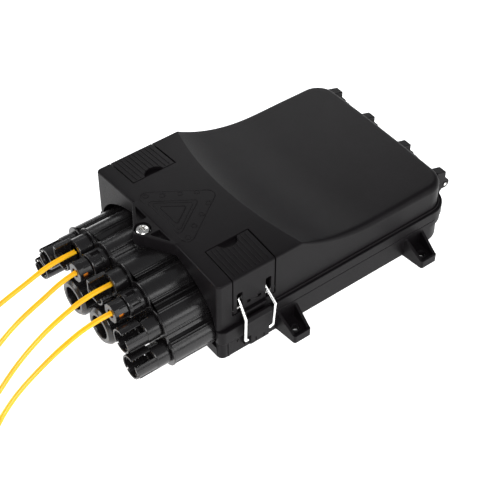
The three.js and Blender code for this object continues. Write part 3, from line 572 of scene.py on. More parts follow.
# ------------------------------------------------------------------ the lid's top surface
LID_HALF, LID_REAR, LID_FRONT_R, LID_REAR_R = 70.0, 200.0, 3.5, 15.5
WALL = 2.4


def fallen(x, y):
    """How far the top has dropped from its high front towards its low rear, 0 to 1."""
    across = min(abs(x) / LID_HALF, 1.1)
    start = 56 + 12 * across**2
    t = min(max((y - start) / 74, 0), 1)
    return 1 - (1 - t) ** 2.3


def top_height(x, y):
    across = abs(x) / LID_HALF
    front = 68.6 + 4.1 * (1 - across**2)
    rear = 50.6 + 1.6 * (1 - across**2)
    return front + (rear - front) * fallen(x, y)


def spaced(low, high, step):
    count = max(round((high - low) / step), 1)
    return [low + (high - low) * i / count for i in range(count + 1)]


RAMP_Y = 56.0
SIDE_LINES = (spaced(LID_FRONT_R, 50, 6) + spaced(50, RAMP_Y, 1.5)[1:]
              + spaced(RAMP_Y, 80, 1.6)[1:] + spaced(80, 140, 3.2)[1:]
              + spaced(140, LID_REAR - LID_REAR_R, 7)[1:])
FRONT_LINES = spaced(-1, 1, 2 / 22)


def follow_crease(x, y, low, high):
    """Bends a line across the lid so that the one at the ramp's start lies along its crease."""
    away = (y - RAMP_Y) / ((high if y > RAMP_Y else low) - RAMP_Y)
    return y + 12 * (x / LID_HALF) ** 2 * (1 - min(abs(away), 1)) ** 1.5


def lid_ring(shrink, depth, flat_z=None):
    """One ring of points round the lid's outline, moved in by shrink and down by depth."""
    corner = max(LID_FRONT_R, shrink)
    half, front, rear = LID_HALF - shrink, shrink, LID_REAR - shrink
    points = []

    def arc(cx, cy, r, start, steps):
        for k in range(1, steps):
            a = start + math.pi / 2 * k / steps
            points.append((cx + r * math.cos(a), cy + r * math.sin(a)))

    inner_x = LID_HALF - corner
    small, big = max(LID_FRONT_R - shrink, 0), max(LID_REAR_R - shrink, 0)
    low_y = max(corner, LID_FRONT_R)
    high_y = LID_REAR - LID_REAR_R
    scale = (RAMP_Y - low_y) / (RAMP_Y - LID_FRONT_R)
    sides = [y if y > RAMP_Y else RAMP_Y - (RAMP_Y - y) * scale for y in SIDE_LINES]
    sides = [follow_crease(half, y, low_y, high_y) for y in sides]
    rear_x = LID_HALF - LID_REAR_R
    points += [(inner_x * t, front) for t in FRONT_LINES]
    arc(inner_x, corner, small, -math.pi / 2, 6)
    points += [(half, y) for y in sides]
    arc(rear_x, high_y, big, 0, 14)
    points += [(rear_x * -t, rear) for t in FRONT_LINES]
    arc(-rear_x, high_y, big, math.pi / 2, 14)
    points += [(-half, y) for y in reversed(sides)]
    arc(-inner_x, corner, small, math.pi, 6)
    if flat_z is not None:
        return [(x, y, flat_z) for x, y in points]
    return [(x, y, top_height(x, y) - depth) for x, y in points]


def edge_radius(x, y):
    return 1.5 + 2.6 * fallen(x, y) + 0.7 * ease((y - 150) / 40)


def lid_body(shrink, depth, low, soft=True):
    """The lid's outline filled up to its crowned and ramped top."""
    rings = [lid_ring(shrink, 0, flat_z=low)]
    steps = 6 if soft else 1
    base = lid_ring(shrink, 0)
    if soft:
        for k in range(steps):
            angle = math.pi / 2 * k / steps
            ring = []
            for i, (x, y, z) in enumerate(base):
                r = edge_radius(x, y)
                shallow = lid_ring(shrink + r * (1 - math.cos(angle)), 0)[i] if k else (x, y, z)
                height = top_height(shallow[0], shallow[1]) - depth - r * (1 - math.sin(angle))
                ring.append((shallow[0], shallow[1], height))
            rings.append(ring)
    else:
        rings.append(lid_ring(shrink, depth))
    for further in (4.4, 7, 11, 15.5):
        if further > shrink + 0.5:
            rings.append(lid_ring(further, depth))
    bm = bmesh.new()
    rows = [[bm.verts.new(p) for p in ring] for ring in rings]
    for low_row, high_row in zip(rows, rows[1:]):
        for i in range(len(low_row)):
            j = (i + 1) % len(low_row)
            bm.faces.new((low_row[i], low_row[j], high_row[j], high_row[i]))
    bm.faces.new(list(reversed(rows[0])))
    half = LID_HALF - LID_REAR_R
    xs = [half * t for t in FRONT_LINES]
    low_y, high_y = LID_REAR_R, LID_REAR - LID_REAR_R
    scale = (RAMP_Y - low_y) / (RAMP_Y - LID_FRONT_R)
    rows_y = [y if y > RAMP_Y else RAMP_Y - (RAMP_Y - y) * scale for y in SIDE_LINES]
    grid = []
    for y in rows_y:
        places = [(x, follow_crease(x, y, low_y, high_y)) for x in xs]
        grid.append([bm.verts.new((x, v, top_height(x, v) - depth)) for x, v in places])
    for a, b in zip(grid, grid[1:]):
        for i in range(len(xs) - 1):
            bm.faces.new((a[i], a[i + 1], b[i + 1], b[i]))
    bmesh.ops.remove_doubles(bm, verts=bm.verts, dist=0.004)
    bmesh.ops.dissolve_degenerate(bm, edges=bm.edges, dist=0.004)
    bmesh.ops.recalc_face_normals(bm, faces=bm.faces)
    return bm


def crown(x):
    return top_height(x, 20)


def crown_band(x0, x1, depth, top=None):
    """An outline in XZ from a depth under the crowned front up to a height, or up to another depth."""
    xs = [x0 + (x1 - x0) * i / 8 for i in range(9)]
    lower = [(x, crown(x) - depth) for x in xs]
    if top is None:
        return lower + [(x1, 90), (x0, 90)]
    return lower + [(x, crown(x) - top) for x in reversed(xs)]


# ------------------------------------------------------------------ lid
LATCH_Y, LATCH_HALF, LATCH_INNER, LATCH_LOW, PLATE = 28.9, 16.7, 41.0, 37.0, 2.5
LATCH_GAP = 0.85  # clearance between a lever and its pocket
PIVOT_X, PIVOT_Z = 67.9, 39.6
HINGE_Y, HINGE_Z = 207.5, 35.0
HINGE_X = (-56.2, -19.6, 19.6, 56.2)
SCREW_Y, SCREW_SEAT = -8.6, 68.6


def both(bm):
    return [mirrored(bm), bm]


def arch(rx, rz, low=10):
    """The mouth over the port block: upright sides and half an ellipse above them."""
    spring = 27.3
    angles = [math.pi * i / 40 for i in range(41)]
    points = [(rx * math.cos(a), spring + rz * math.sin(a)) for a in angles]
    return [(rx, low), *points, (-rx, low)]


def latch_housing():
    y0, y1 = LATCH_Y - LATCH_HALF - 2.7, LATCH_Y + LATCH_HALF + 2.7
    cheek = prism("y", [(58.5, 27.6), (69.4, 27.6), (69.4, 67.6), (58.5, 68.6)], y0, y1)
    shelf = [(38.2, 63.2), (69.2, 61.2), (69.2, 67.6), (58, 68.7), (48, 69.7), (38.2, 70.3)]
    return [cheek, prism("y", shelf, y0 + 0.01, y1 - 0.01)]


def latch_pocket():
    y, half = LATCH_Y, LATCH_HALF + LATCH_GAP
    top = prism("y", crown_band(LATCH_INNER - 0.5, 76, PLATE + 0.5), y - half, y + half)
    side = block(70 - PLATE - 0.4, 90, y - half, y + half, LATCH_LOW - 0.4, 89)
    deep = block(61.6, 90, y - 15.9, y + 15.9, 35.9, 55.4)
    heel = block(64.3, 90, y - half, y + half, 36.1, 43.4)
    centre = LATCH_INNER - 2.2
    moon = [(u, v) for u, v in circle(centre, y, 7.7, 48) if u > LATCH_INNER - 0.5]
    moon.sort(key=lambda p: math.atan2(p[1] - y, p[0] - centre))
    finger = prism("z", moon, 68.6, 91)
    pin = rod("y", PIVOT_X, PIVOT_Z, 1.5, y - half - 1.6, y + half + 1.6, 16)
    return [top, side, deep, heel, finger, pin]


def screw_tab():
    nose = [(-24.5, 1.5), (-24.5, -0.4), (-5.8, SCREW_Y - 3.4)]
    nose += [(6.6 * math.cos(a), SCREW_Y + 6.6 * math.sin(a))
             for a in (math.radians(d) for d in range(212, 331, 8))]
    nose += [(5.8, SCREW_Y - 3.4), (24.5, -0.4), (24.5, 1.5)]
    return prism("z", nose, 62.2, 72.3, 0.5, 0.5)


def hinge_lug(x):
    r = 4.2
    points = [(198.6, 26.6), (203.6, 26.6), (203.6, 29.2), (205.2, 31.4)]
    points += [(HINGE_Y + r * math.cos(a), HINGE_Z + r * math.sin(a))
               for a in (math.pi * i / 20 for i in range(-8, 9))]
    points += [(207.6, 41.5), (207.6, 46.4), (198.6, 49.2)]
    return prism("x", points, x - 3.5, x + 3.5, 0.4)


def lid_shell():
    outer = lid_body(0, 0, 27.3)
    skirt = prism("z", plan(72.8, 46, 204, 0.8, 18, 14), 20.8, 28.7, 0.5)
    upper_skirt = prism("z", plan(71.2, 46.6, 201.6, 0.8, 16.6, 14), 28.0, 30.2, 0.5)
    hollow = lid_body(WALL, WALL, 0, soft=False)
    shell = joined(outer, skirt, upper_skirt)
    shell = cut(shell, hollow)
    tongue = cut(prism("z", plan(68.5, 3.6, 198.2, 2.2, 14), 18.2, 31),
                 prism("z", plan(66.2, 6, 195.8, 1, 11.8), 17, 32),
                 block(-66.6, 66.6, -3, 10, 10, 32))
    ribs = [prism("z", rect(-67.9, 67.9, y - 0.7, y + 0.7), 40, top_height(67.9, y) - 1.2) for y in (96, 150)]
    ribs = [cut(rib, block(-66.4, 66.4, y - 3, y + 3, 30, top_height(67, y) - 3.4))
            for rib, y in zip(ribs, (96, 150))]
    boss = rod("z", 0, SCREW_Y, 6.2, 64, 72.5, 40, 0.3)
    bars = both(block(66, 72.1, LATCH_Y - 9.6, LATCH_Y + 9.6, 33.2, 36.0, 0, 0.7))
    shell = joined(shell, tongue, *ribs, *(p for h in latch_housing() for p in both(h)), screw_tab(), boss,
                   *(hinge_lug(x) for x in HINGE_X), *bars)
    arch_cut = prism("y", arch(65.6, 37.6), -0.5, 6.5)
    triangle = fillet([(7.3, -0.5), (7.3, SCREW_Y + 0.6), (20.6, -0.5)], [0.6, 0.6, 0.3], 3)
    recess = prism("z", triangle, 69.4, 80)
    recess_left = mirrored(recess)
    tools = [arch_cut, recess, recess_left]
    for tool in latch_pocket():
        tools += both(tool)
    tools += [rod("x", HINGE_Y, HINGE_Z, 1.8, -90, 90, 20),
              rod("z", 0, SCREW_Y, 2.8, 40, 90, 24),
              rod("z", 0, SCREW_Y, 5.75, SCREW_SEAT, 90, 40)]
    shell = cut(shell, *tools)
    piece("lid_shell", shell, "lid", ["lid_cover"], "shell", edge=0.28, flat=0.02, sharp=35)


def ridge(outline, width, height):
    """A low rounded ridge along a closed outline on the lid's top."""
    turn = 1 if area(outline) > 0 else -1
    rings = []
    count = len(outline)
    profile = [(-0.5, -0.5), (-0.5, 0.0), (-0.3, 0.75), (0.0, 1.0), (0.3, 0.75), (0.5, 0.0), (0.5, -0.5)]
    for i in range(count):
        ahead = (Vector(outline[(i + 1) % count]) - Vector(outline[i - 1])).normalized() * turn
        ring = []
        for u, v in profile:
            x, y = outline[i][0] - ahead.y * u * width, outline[i][1] + ahead.x * u * width
            ring.append((x, y, top_height(x, y) + (v * height if v > 0 else v)))
        rings.append(ring)
    return skin(rings, closed=True)


def lid_relief():
    """A plain pattern moulded on the lid's front: three nested triangles and two rows of small rings."""
    parts = []
    triangles = ((32.2, 5.6, 52.4, 5.0, 0.8, 0.3), (19.6, 7.4, 36.4, 2.0, 0.7, 0.3),
                 (16.4, 9.2, 32.2, 1.4, 0.6, 0.25), (10.4, 11.6, 26.4, 1.0, 0.7, 0.35))
    for half, low, apex, r, width, height in triangles:
        parts.append(ridge(fillet([(-half, low), (half, low), (0, apex)], r, 8), width, height))
    for x, y in ((24.2, 10.4), (18, 19.6), (12.3, 29.8), (6.6, 39.6)):
        parts += [ridge(circle(s * x, y, 1.75, 20), 0.6, 0.24) for s in (-1, 1)]
    piece("lid_relief", merged(*parts), "lid", (), "shell", flat=0, sharp=60)


# ------------------------------------------------------------------ latches
def latch_lever():
    y0, y1 = LATCH_Y - LATCH_HALF, LATCH_Y + LATCH_HALF
    xs = [LATCH_INNER + (68.4 - LATCH_INNER) * i / 9 for i in range(10)]
    outer = [(x, crown(x)) for x in xs]
    corner_z = crown(68.4) - 1.55
    outer += [(68.4 + 1.6 * math.sin(a), corner_z + 1.55 * math.cos(a))
              for a in (math.pi / 2 * i / 6 for i in range(1, 7))]
    inner = [(67.5, LATCH_LOW), (67.5, crown(67) - PLATE)]
    inner += [(x, crown(x) - PLATE) for x in reversed(xs[:-1])]
    body = prism("y", outer + [(70, LATCH_LOW)] + inner, y0, y1, 0.35)
    parts = [rod("y", PIVOT_X, PIVOT_Z, 2.05, y0 + 1.2, y1 - 1.2, 28, 0.2),
             block(62.9, 68, LATCH_Y - 8.2, LATCH_Y + 8.2, 44.1, 49)]
    for i in range(9):
        y = y0 + 3.3 + 3.35 * i
        line = crown_band(LATCH_INNER + 1.2, 67.6, 0.4, -0.4)
        parts.append(prism("y", line, y - 0.34, y + 0.34, 0.14, steps=1))
    body = joined(body, *parts)
    centre = LATCH_INNER - 2.2
    tools = [rod("z", centre, LATCH_Y, 8.0, 50, 90, 56)]
    for side in (-1, 1):
        y = LATCH_Y + side * 11.6
        slot = fillet([(y - 2.2, 30), (y + 2.2, 30), (y + 2.2, 54.2), (y - 2.2, 54.2)], [0, 0, 1.2, 1.2], 5)
        tools.append(prism("x", slot, 60, 75))
        y = LATCH_Y + side * 4.4
        tools.append(prism("x", rect(y - 1.25, y + 1.25, 41.1, 43.5, 0.2, 2), 61, 75))
    tools += [rod("y", 65.5, 46.5, 1.4, LATCH_Y - 20, LATCH_Y + 20, 20),
              rod("y", PIVOT_X, PIVOT_Z, 1.5, LATCH_Y - 20, LATCH_Y + 20, 20)]
    return cut(body, *tools)


def wire(points, radius, bend):
    """A round wire bent through points, with domed ends."""
    p = [Vector(q) for q in points]
    line = [p[0]]
    for a, b, c in zip(p, p[1:], p[2:]):
        back, on = (a - b).normalized(), (c - b).normalized()
        half = back.angle(on) / 2
        reach = min(bend / math.tan(half), (a - b).length * 0.48, (c - b).length * 0.48)
        centre = b + (back + on).normalized() * (reach / math.cos(half))
        start, end = b + back * reach - centre, b + on * reach - centre
        for k in range(9):
            line.append(centre + start.slerp(end, k / 8) if start.angle(end) > 1e-4 else b)
    line.append(p[-1])
    normal = None
    rings = []
    for i, q in enumerate(line):
        ahead = (line[min(i + 1, len(line) - 1)] - line[max(i - 1, 0)]).normalized()
        if normal is None:
            normal = ahead.orthogonal().normalized()
        normal = (normal - ahead * normal.dot(ahead)).normalized()
        other = ahead.cross(normal)
        caps = [(0, 1.0)]
        if i == 0:
            caps = [(-0.45, 0.45), (-0.3, 0.8), (0, 1.0)]
        if i == len(line) - 1:
            caps = [(0, 1.0), (0.3, 0.8), (0.45, 0.45)]
        for push, size in caps:
            rings.append([tuple(q + ahead * push * radius
                                + (normal * math.cos(a) + other * math.sin(a)) * radius * size)
                          for a in (math.tau * k / 14 for k in range(14))])
    return skin(rings)


def latch_bail():
    def leg(side):
        y, reach = LATCH_Y + side * 12, 4.4 if side > 0 else 1.8
        return [(76.6, y - side * reach, 14.6), (76.6, y, 14.6), (78.4, y, 35.4), (65.5, y, 46.5)]

    return wire(leg(-1) + leg(1)[::-1], 1.1, 2.4)


def latches():
    lever, bail = latch_lever(), latch_bail()
    pin = rod("y", PIVOT_X, PIVOT_Z, 1.2, LATCH_Y - 18.2, LATCH_Y + 18.2, 24, 0.2)
    for side in ("left", "right"):
        copy = (lambda bm: mirrored(bm)) if side == "left" else (lambda bm: bm.copy())
        piece(f"lever_{side}", copy(lever), f"latch_{side}", [f"latch_lever_{side}"], "shell", edge=0.2)
        piece(f"wire_bail_{side}", copy(bail), f"bail_{side}", [f"latch_bail_{side}"], "wire", flat=0,
              sharp=60)
        piece(f"lever_pin_{side}", copy(pin), "lid", [f"latch_pin_{side}"], "steel")


# ------------------------------------------------------------------ base
def ear(y):
    outline = fillet([(69.6, y - 8.6), (89.1, y - 7), (89.1, y + 7), (69.6, y + 8.6)], [0, 1.8, 1.8, 0], 5)
    side = [(69.0, -1), (91, -1), (91, 6.8), (86.9, 6.8), (70.6, 17.2), (69.0, 17.2)]
    body = combine(prism("z", outline, 0.12, 30, 0.3, 0), [prism("y", side, y - 20, y + 20)], "INTERSECT")
    pocket = fillet([(71.6, y - 6.3), (87.3, y - 5.1), (87.3, y + 5.1), (71.6, y + 6.3)],
                    [0.1, 0.8, 0.8, 0.1], 3)
    body = cut(body, prism("z", pocket, 4.4, 40), rod("z", 80.7, y, 2.5, -1, 10, 28))
    rim = turned("z", 80.7, y, [(2.5, 4.2), (4.0, 4.2), (3.9, 4.75), (3.6, 4.95), (2.9, 4.95), (2.5, 4.7)],
                 28)
    return joined(body, rim)


def keeper():
    y, half = LATCH_Y, 10.3
    profile = [(70.5, 6), (74.8, 6), (76.6, 7.8), (76.6, 29.8), (74.8, 32), (72.9, 32), (72.5, 26),
               (70.5, 26)]
    body = prism("y", profile, y - half, y + half, 0.35)
    tools = []
    for side in (-1, 1):
        inner, outer = sorted((y + side * (half - 2.9), y + side * (half + 1)))
        tools.append(block(73.9, 80, inner, outer, 3, 16.75))
        yy = y + side * 3.3
        tools.append(block(76.0, 78, yy - 0.35, yy + 0.35, 9.4, 12.4))
    return cut(body, *tools)


def knuckle_x(x):
    """Where a base knuckle starts: at the lug's +X side, but inside the last lug."""
    return x - 8.9 if x > 40 else x + 3.9


def hinge_arm(x0):
    r = 3.4
    points = [(199.8, 8), (203.8, 8), (HINGE_Y + r, 22)]
    points += [(HINGE_Y + r * math.cos(a), HINGE_Z + r * math.sin(a))
               for a in (math.pi * i / 16 for i in range(17))]
    points += [(204.6, 32), (204.6, 19.6), (199.8, 19.6)]
    return prism("x", points, x0, x0 + 5, 0.35)


def base_shell():
    wall = prism("z", plan(71, 0.8, 201.5, 4.5, 17, 12), 0, 20, 0.9, 0.3)
    rim = prism("z", plan(72.3, 0.8, 203.6, 5, 18, 12), 15, 20, 0.4)
    band = prism("z", fillet([(-72.8, 0), (72.8, 0), (72.8, 45.6), (-72.8, 45.6)], [4.5, 4.5, 1.5, 1.5], 10),
                 15, 27, 1.3, 0.6)
    shell = joined(wall, rim, band)
    cavity = prism("z", plan(69, 3, 198.8, 2.5, 14.5), 2.6, 60)
    shell = cut(shell, cavity)
    ledge = cut(prism("z", plan(69.5, 2.6, 199.3, 2.6, 14.8), 12.5, 15.4),
                prism("z", plan(65.6, 6, 195.4, 1, 11.5), 10, 20))
    bosses = [rod("z", x, y, 3.4, 2, 9, 24, 0.2) for x in (-58, 58) for y in (30, 176)]
    posts = [rod("z", x, y, 3.2, 2, 11.6, 24, 0.2) for x in (-40, 40) for y in (82, 180)]
    rib = block(70.4, 71.6, 6.8, 7.6, 0.6, 15.2)
    fins = [block(x - 0.6, x + 0.6, 44, 72, 2, 7) for x in (-50, -25, 0, 25, 50)]
    ears = [e for y in (55.5, 169.5) for e in both(ear(y))]
    arms = [hinge_arm(knuckle_x(x)) for x in HINGE_X]
    shell = joined(shell, ledge, *bosses, *posts, *fins, *both(rib), *ears, *arms, *both(keeper()))
    mouth = prism("y", [(-66.8, 8.6), (66.8, 8.6), (66.8, 40), (-66.8, 40)], -2, 6.4)
    arrow = [(13.4, 12.2), (15.6, 12.2), (14.5, 9.6)]
    marks = both(prism("x", arrow, 70.6, 76))
    pilots = [rod("z", x, y, 1.3, 3, 20, 16) for x in (-58, 58) for y in (30, 176)]
    shell = cut(shell, mouth, *marks, *pilots, rod("x", HINGE_Y, HINGE_Z, 1.8, -80, 80, 20))
    piece("base_shell", shell, "base", ["base_tray"], "shell", edge=0.28)


# ------------------------------------------------------------------ screw, washer, hinge pins
def fasteners():
    seat = SCREW_SEAT + 1.4
    head = [(0, 55.4), (1.7, 55.4), (2.3, 56.2), (2.3, seat), (4.9, seat), (4.9, seat + 0.9),
            (4.75, seat + 1.45), (4.3, seat + 2.0), (3.5, seat + 2.5), (2.3, seat + 2.9), (1.0, seat + 3.05),
            (0, seat + 3.1)]
    screw = turned("z", 0, SCREW_Y, head, 48)
    slots = []
    for long, wide in ((6.2, 1.35), (1.35, 6.2)):
        across, along = (0.6, 0.55) if wide > long else (0.55, 0.6)
        bottom = rect(-long / 2 * across, long / 2 * across, SCREW_Y - wide / 2 * along,
                      SCREW_Y + wide / 2 * along)
        top = rect(-long / 2, long / 2, SCREW_Y - wide / 2, SCREW_Y + wide / 2)
        slots.append(skin([[(u, v, seat + 0.6) for u, v in bottom], [(u, v, seat + 4) for u, v in top]]))
    threads = [turned("z", 0, SCREW_Y, [(2.35, low), (2.05, low + 0.4), (2.35, low + 0.8), (2.7, low + 0.8),
                                        (2.7, low)], 32) for low in (56.6 + 0.8 * i for i in range(6))]
    screw = cut(screw, *slots, *threads)
    piece("pan_screw", screw, "screw", ["lid_screw"], "steel", edge=0.12)
    z = SCREW_SEAT + 0.2
    washer = turned("z", 0, SCREW_Y, [(2.6, z), (5.3, z), (5.4, z + 0.2), (5.4, z + 0.7), (5.2, z + 0.9),
                                      (2.6, z + 0.9)], 48)
    piece("flat_washer", washer, "washer", ["screw_washer"], "steel")
    insert = [(2.5, 50), (3.7, 50), (3.9, 50.2)]
    for i in range(6):
        insert += [(3.9, 51 + i * 1.7), (3.65, 51.3 + i * 1.7), (3.65, 51.9 + i * 1.7), (3.9, 52.2 + i * 1.7)]
    insert += [(3.9, 61.2), (3.7, 61.4), (2.5, 61.4)]
    piece("threaded_insert", turned("z", 0, SCREW_Y, insert, 40), "base", ["screw_insert"], "insert_brass")
    for i, x in enumerate(HINGE_X):
        a, b = min(x - 4.1, knuckle_x(x) - 0.6), max(x + 4.1, knuckle_x(x) + 5.6)
        pin = [(0, a), (1.3, a), (1.5, a + 0.2), (1.5, b - 0.4), (1.3, b), (0, b)]
        piece(f"pin_{i + 1}", turned("x", HINGE_Y, HINGE_Z, pin, 24), "base", [f"hinge_pin_{i + 1}"], "steel")


# ------------------------------------------------------------------ port block
LIP = 32.5
PORTS = {
    1: (-55.3, 20.3, "jaw"), 2: (-46.2, 37.1, "jaw"), 3: (-30.1, 48.3, "trough"),
    4: (-11.2, 51.1, "gland"), 5: (11.2, 51.1, "trough"), 6: (30.1, 48.3, "gland"),
    7: (46.2, 37.1, "jaw"), 8: (55.3, 20.3, "jaw"),
}
MAINS = {1: -16.0, 2: 16.0}
MAIN_Z = 23.4
CORE = [(-58, 12), (58, 12), (62, 24), (50, 41), (32, 53), (0, 57.5), (-32, 53), (-50, 41), (-62, 24)]


def outward(x, z):
    """The direction a drop port faces away from the middle of the block, in degrees."""
    return math.degrees(math.atan2((z - 12) / 0.62, x))


def section(r, main_r, y0, y1, edge=0.0, grow=0.0):
    core = inset(CORE, -grow) if grow else CORE
    rods = [rod("y", x, z, r, y0, y1, 56, edge) for x, z, _ in PORTS.values()]
    rods += [rod("y", x, MAIN_Z, main_r, y0, y1, 56, edge) for x in MAINS.values()]
    return joined(prism("y", core, y0 + 0.011, y1 - 0.011), *rods)


def port_block():
    flutes = section(10.6, 13.4, -LIP + 1, 9)
    lip = section(11.5, 14.3, -LIP, -LIP + 1.5, 0.3, grow=1.9)
    ribs = []
    for x, z, _ in PORTS.values():
        facing = outward(x, z)
        for turn in (-50, -41, 41, 50):
            a = math.radians(facing + turn)
            ribs.append(rod("y", x + 10.4 * math.cos(a), z + 10.4 * math.sin(a), 0.7, -LIP + 1, 8.5, 10))
    tubes = [rod("y", x, MAIN_Z, 12.2, -51, -LIP + 1, 48) for x in MAINS.values()]
    boss = rod("z", 0, SCREW_Y, 5.6, 46, 61.8, 40, 0.4)
    body = joined(flutes, lip, *ribs, *tubes, boss)
    tools = [rod("y", x, z, 6.2, -60, 20, 40) for x, z, _ in PORTS.values()]
    tools += [rod("y", x, MAIN_Z, 9.4, -60, 20, 48) for x in MAINS.values()]
    tools += [rod("y", x, MAIN_Z, 10.9, -60, -41, 48) for x in MAINS.values()]
    tools.append(rod("z", 0, SCREW_Y, 4.2, 49.7, 70, 32))
    piece("port_manifold", cut(body, *tools), "base", ["port_block"], "port_plastic", edge=0.22)
    seal = cut(prism("y", arch(65.2, 38.4, 28), 7, 8.6, 0.2), section(10.95, 13.75, 0, 20))
    piece("arch_seal", seal, "base", ["port_seal"], "gasket")


def tube_profile(bore, outer, end):
    """A port tube from its mouth at -end back to the plug in the block."""
    return [(bore, -end + 0.5), (bore + 0.5, -end), (outer - 0.9, -end), (outer - 0.26, -end + 0.26),
            (outer, -end + 0.9), (outer, -LIP - 1.3), (outer - 0.35, -LIP - 1.1), (outer - 0.35, -LIP - 0.35),
            (5.9, -LIP - 0.35), (5.9, -LIP + 7), (bore, -LIP + 7)]


def jaw_teeth(x, z, angle, y0):
    """Three gripping teeth along one lip of a jaw."""
    teeth = []
    for i in range(3):
        y = y0 + 2.3 * i
        tooth = prism("y", rect(5.1, 7.5, -0.7, 0.7, 0.15, 2), y, y + 1.2, 0.1)
        turn_about(tooth, (0, 0, 0), "Y", -angle)
        teeth.append(shifted(tooth, (x, 0, z)))
    return teeth


def jaw_port(n, x, z):
    side = 1 if x > 0 else -1
    low, high = (-136, 48) if side > 0 else (132, 316)
    cover = (54, 218) if side > 0 else (-38, 126)
    strip = (203, 236) if side > 0 else (304, 337)
    hinge = math.radians(225 if side > 0 else -45)
    tip = 58.4
    tube = turned("y", x, z, tube_profile(4.4, 8.5, 43.4), 56)
    jaw = prism("y", fillet(sector(x, z, 7.9, 6.5, low, high, 16), 0.35, 2), -tip, -42.4, 0.3)
    middle = (low + high) / 2
    ribs = [prism("y", sector(x, z, 6.8, 5.0, middle - 32, middle + 32, 6), -tip + a, -tip + a + 1.2)
            for a in (1.5, 8)]
    spine = prism("y", sector(x, z, 8.45, 7.5, middle - 9, middle + 9, 4), -tip + 2.4, -42.6, 0.25)
    ribs.append(prism("y", sector(x, z, 6.25, 5.4, *strip, 6), -tip + 0.6, -43))
    sleeve = joined(tube, jaw, spine, *ribs)
    # a flat window in the tube's shoulder under the root of the hinged jaw
    facing = 130 if side > 0 else 50
    window = block(-4.6, 4.6, -43.9, -36.5, 7.1, 12, 0.5)
    turn_about(window, (0, 0, 0), "Y", 90 - facing)
    shifted(window, (x, 0, z))
    notch_angle = math.radians(middle)
    reach = 12 * math.cos(notch_angle)
    notch = rod("x", -tip - 0.4, z, 1.6, x + min(0, reach), x + max(0, reach), 20)
    sleeve = cut(sleeve, window, notch)
    piece(f"sleeve_{n}", sleeve, "base", [f"port_sleeve_{n}"], "port_plastic", edge=0.14)
    lid = prism("y", fillet(sector(x, z, 7.9, 6.5, *cover, 16), 0.35, 2), -tip, -43.9, 0.3)
    mid = sum(cover) / 2
    ridges = [prism("y", sector(x, z, 8.1, 7.5, mid + a, mid + a + 8, 3), -tip + 1.5, -45, 0.2)
              for a in (-26, 18)]
    grip = prism("y", sector(x, z, 6.8, 5.2, mid - 30, mid + 30, 6), -tip + 1.5, -tip + 2.8)
    edge_angle = cover[0] + 5 if side > 0 else cover[1] - 5
    lid = joined(lid, *ridges, grip, *jaw_teeth(x, z, edge_angle, -tip + 1.2))
    pivot = (x + 7.25 * math.cos(hinge), 0, z + 7.25 * math.sin(hinge))
    turn_about(lid, pivot, "Y", -16 * side)
    piece(f"clamp_lid_{n}", lid, f"clamp_{n}", [f"port_clamp_{n}"], "port_plastic", edge=0.14)
    clip_angle = high - 7 if side > 0 else low + 7
    clip = merged(*jaw_teeth(x, z, clip_angle, -tip + 0.8))
    piece(f"grip_teeth_{n}", clip, "base", (), "steel", edge=0.08)


def trough_port(n, x, z):
    tip = 55.5
    tube = turned("y", x, z, tube_profile(4.4, 8.5, 43.4), 56)
    channel = fillet([(x - 7.5, z - 6.4), (x + 3.2, z - 6.4), (x + 3.2, z - 5.0), (x - 6.1, z - 5.0),
                      (x - 6.1, z + 5.6), (x - 4.0, z + 5.6), (x - 4.0, z + 6.9), (x - 7.5, z + 6.9)],
                     [3.8, 0.3, 0.3, 2.2, 0.4, 0.3, 0.3, 1.0], 6)
    trough = prism("y", channel, -tip, -42.6, 0.25)
    ribs = [block(x - 7.9, x - 7.2, -tip + 2.2 + 3.4 * i, -tip + 3.2 + 3.4 * i, z - 2.2, z + 5)
            for i in range(3)]
    saddle = prism("y", [(x - 6.3, z - 5.2), (x + 2.6, z - 5.2), (x + 2.6, z - 3.2), (x + 1.9, z - 1.6),
                         (x - 1.9, z - 1.6), (x - 6.3, z - 3.4)], -44.8, -42.8)
    sleeve = joined(tube, trough, *ribs, saddle)
    ear_side = 1 if n == 5 else -1
    ear_x, ear_z = x + ear_side * 5.6, z - 3.4
    profile = [(0, -44.6), (1.25, -44.6), (1.5, -44.3), (1.5, -42.6), (0, -42.6)]
    sleeve = joined(sleeve, turned("y", ear_x, ear_z, profile, 24))
    sleeve = cut(sleeve, rod("y", ear_x, ear_z, 0.7, -46, -43.4, 16))
    piece(f"sleeve_{n}", sleeve, "base", [f"port_sleeve_{n}"], "port_plastic", edge=0.14)
    # the small clip that closes the trough, resting open
    lid = prism("y", fillet(sector(x, z, 7.9, 6.6, 306, 384, 10), 0.3, 2), -55.2, -48, 0.2)
    lid = joined(lid, *jaw_teeth(x, z, 378, -55.0))
    angle = math.radians(299)
    turn_about(lid, (x + 7.25 * math.cos(angle), 0, z + 7.25 * math.sin(angle)), "Y", 20)
    piece(f"clamp_lid_{n}", lid, f"clamp_{n}", [f"port_clamp_{n}"], "port_plastic", edge=0.12)
    teeth = [block(x - 6.0, x - 4.6, -tip + 0.7 + 1.9 * i, -tip + 1.7 + 1.9 * i, z - 4.4, z - 2.4, 0, 0.1)
             for i in range(3)]
    piece(f"grip_teeth_{n}", merged(*teeth), "base", (), "steel")


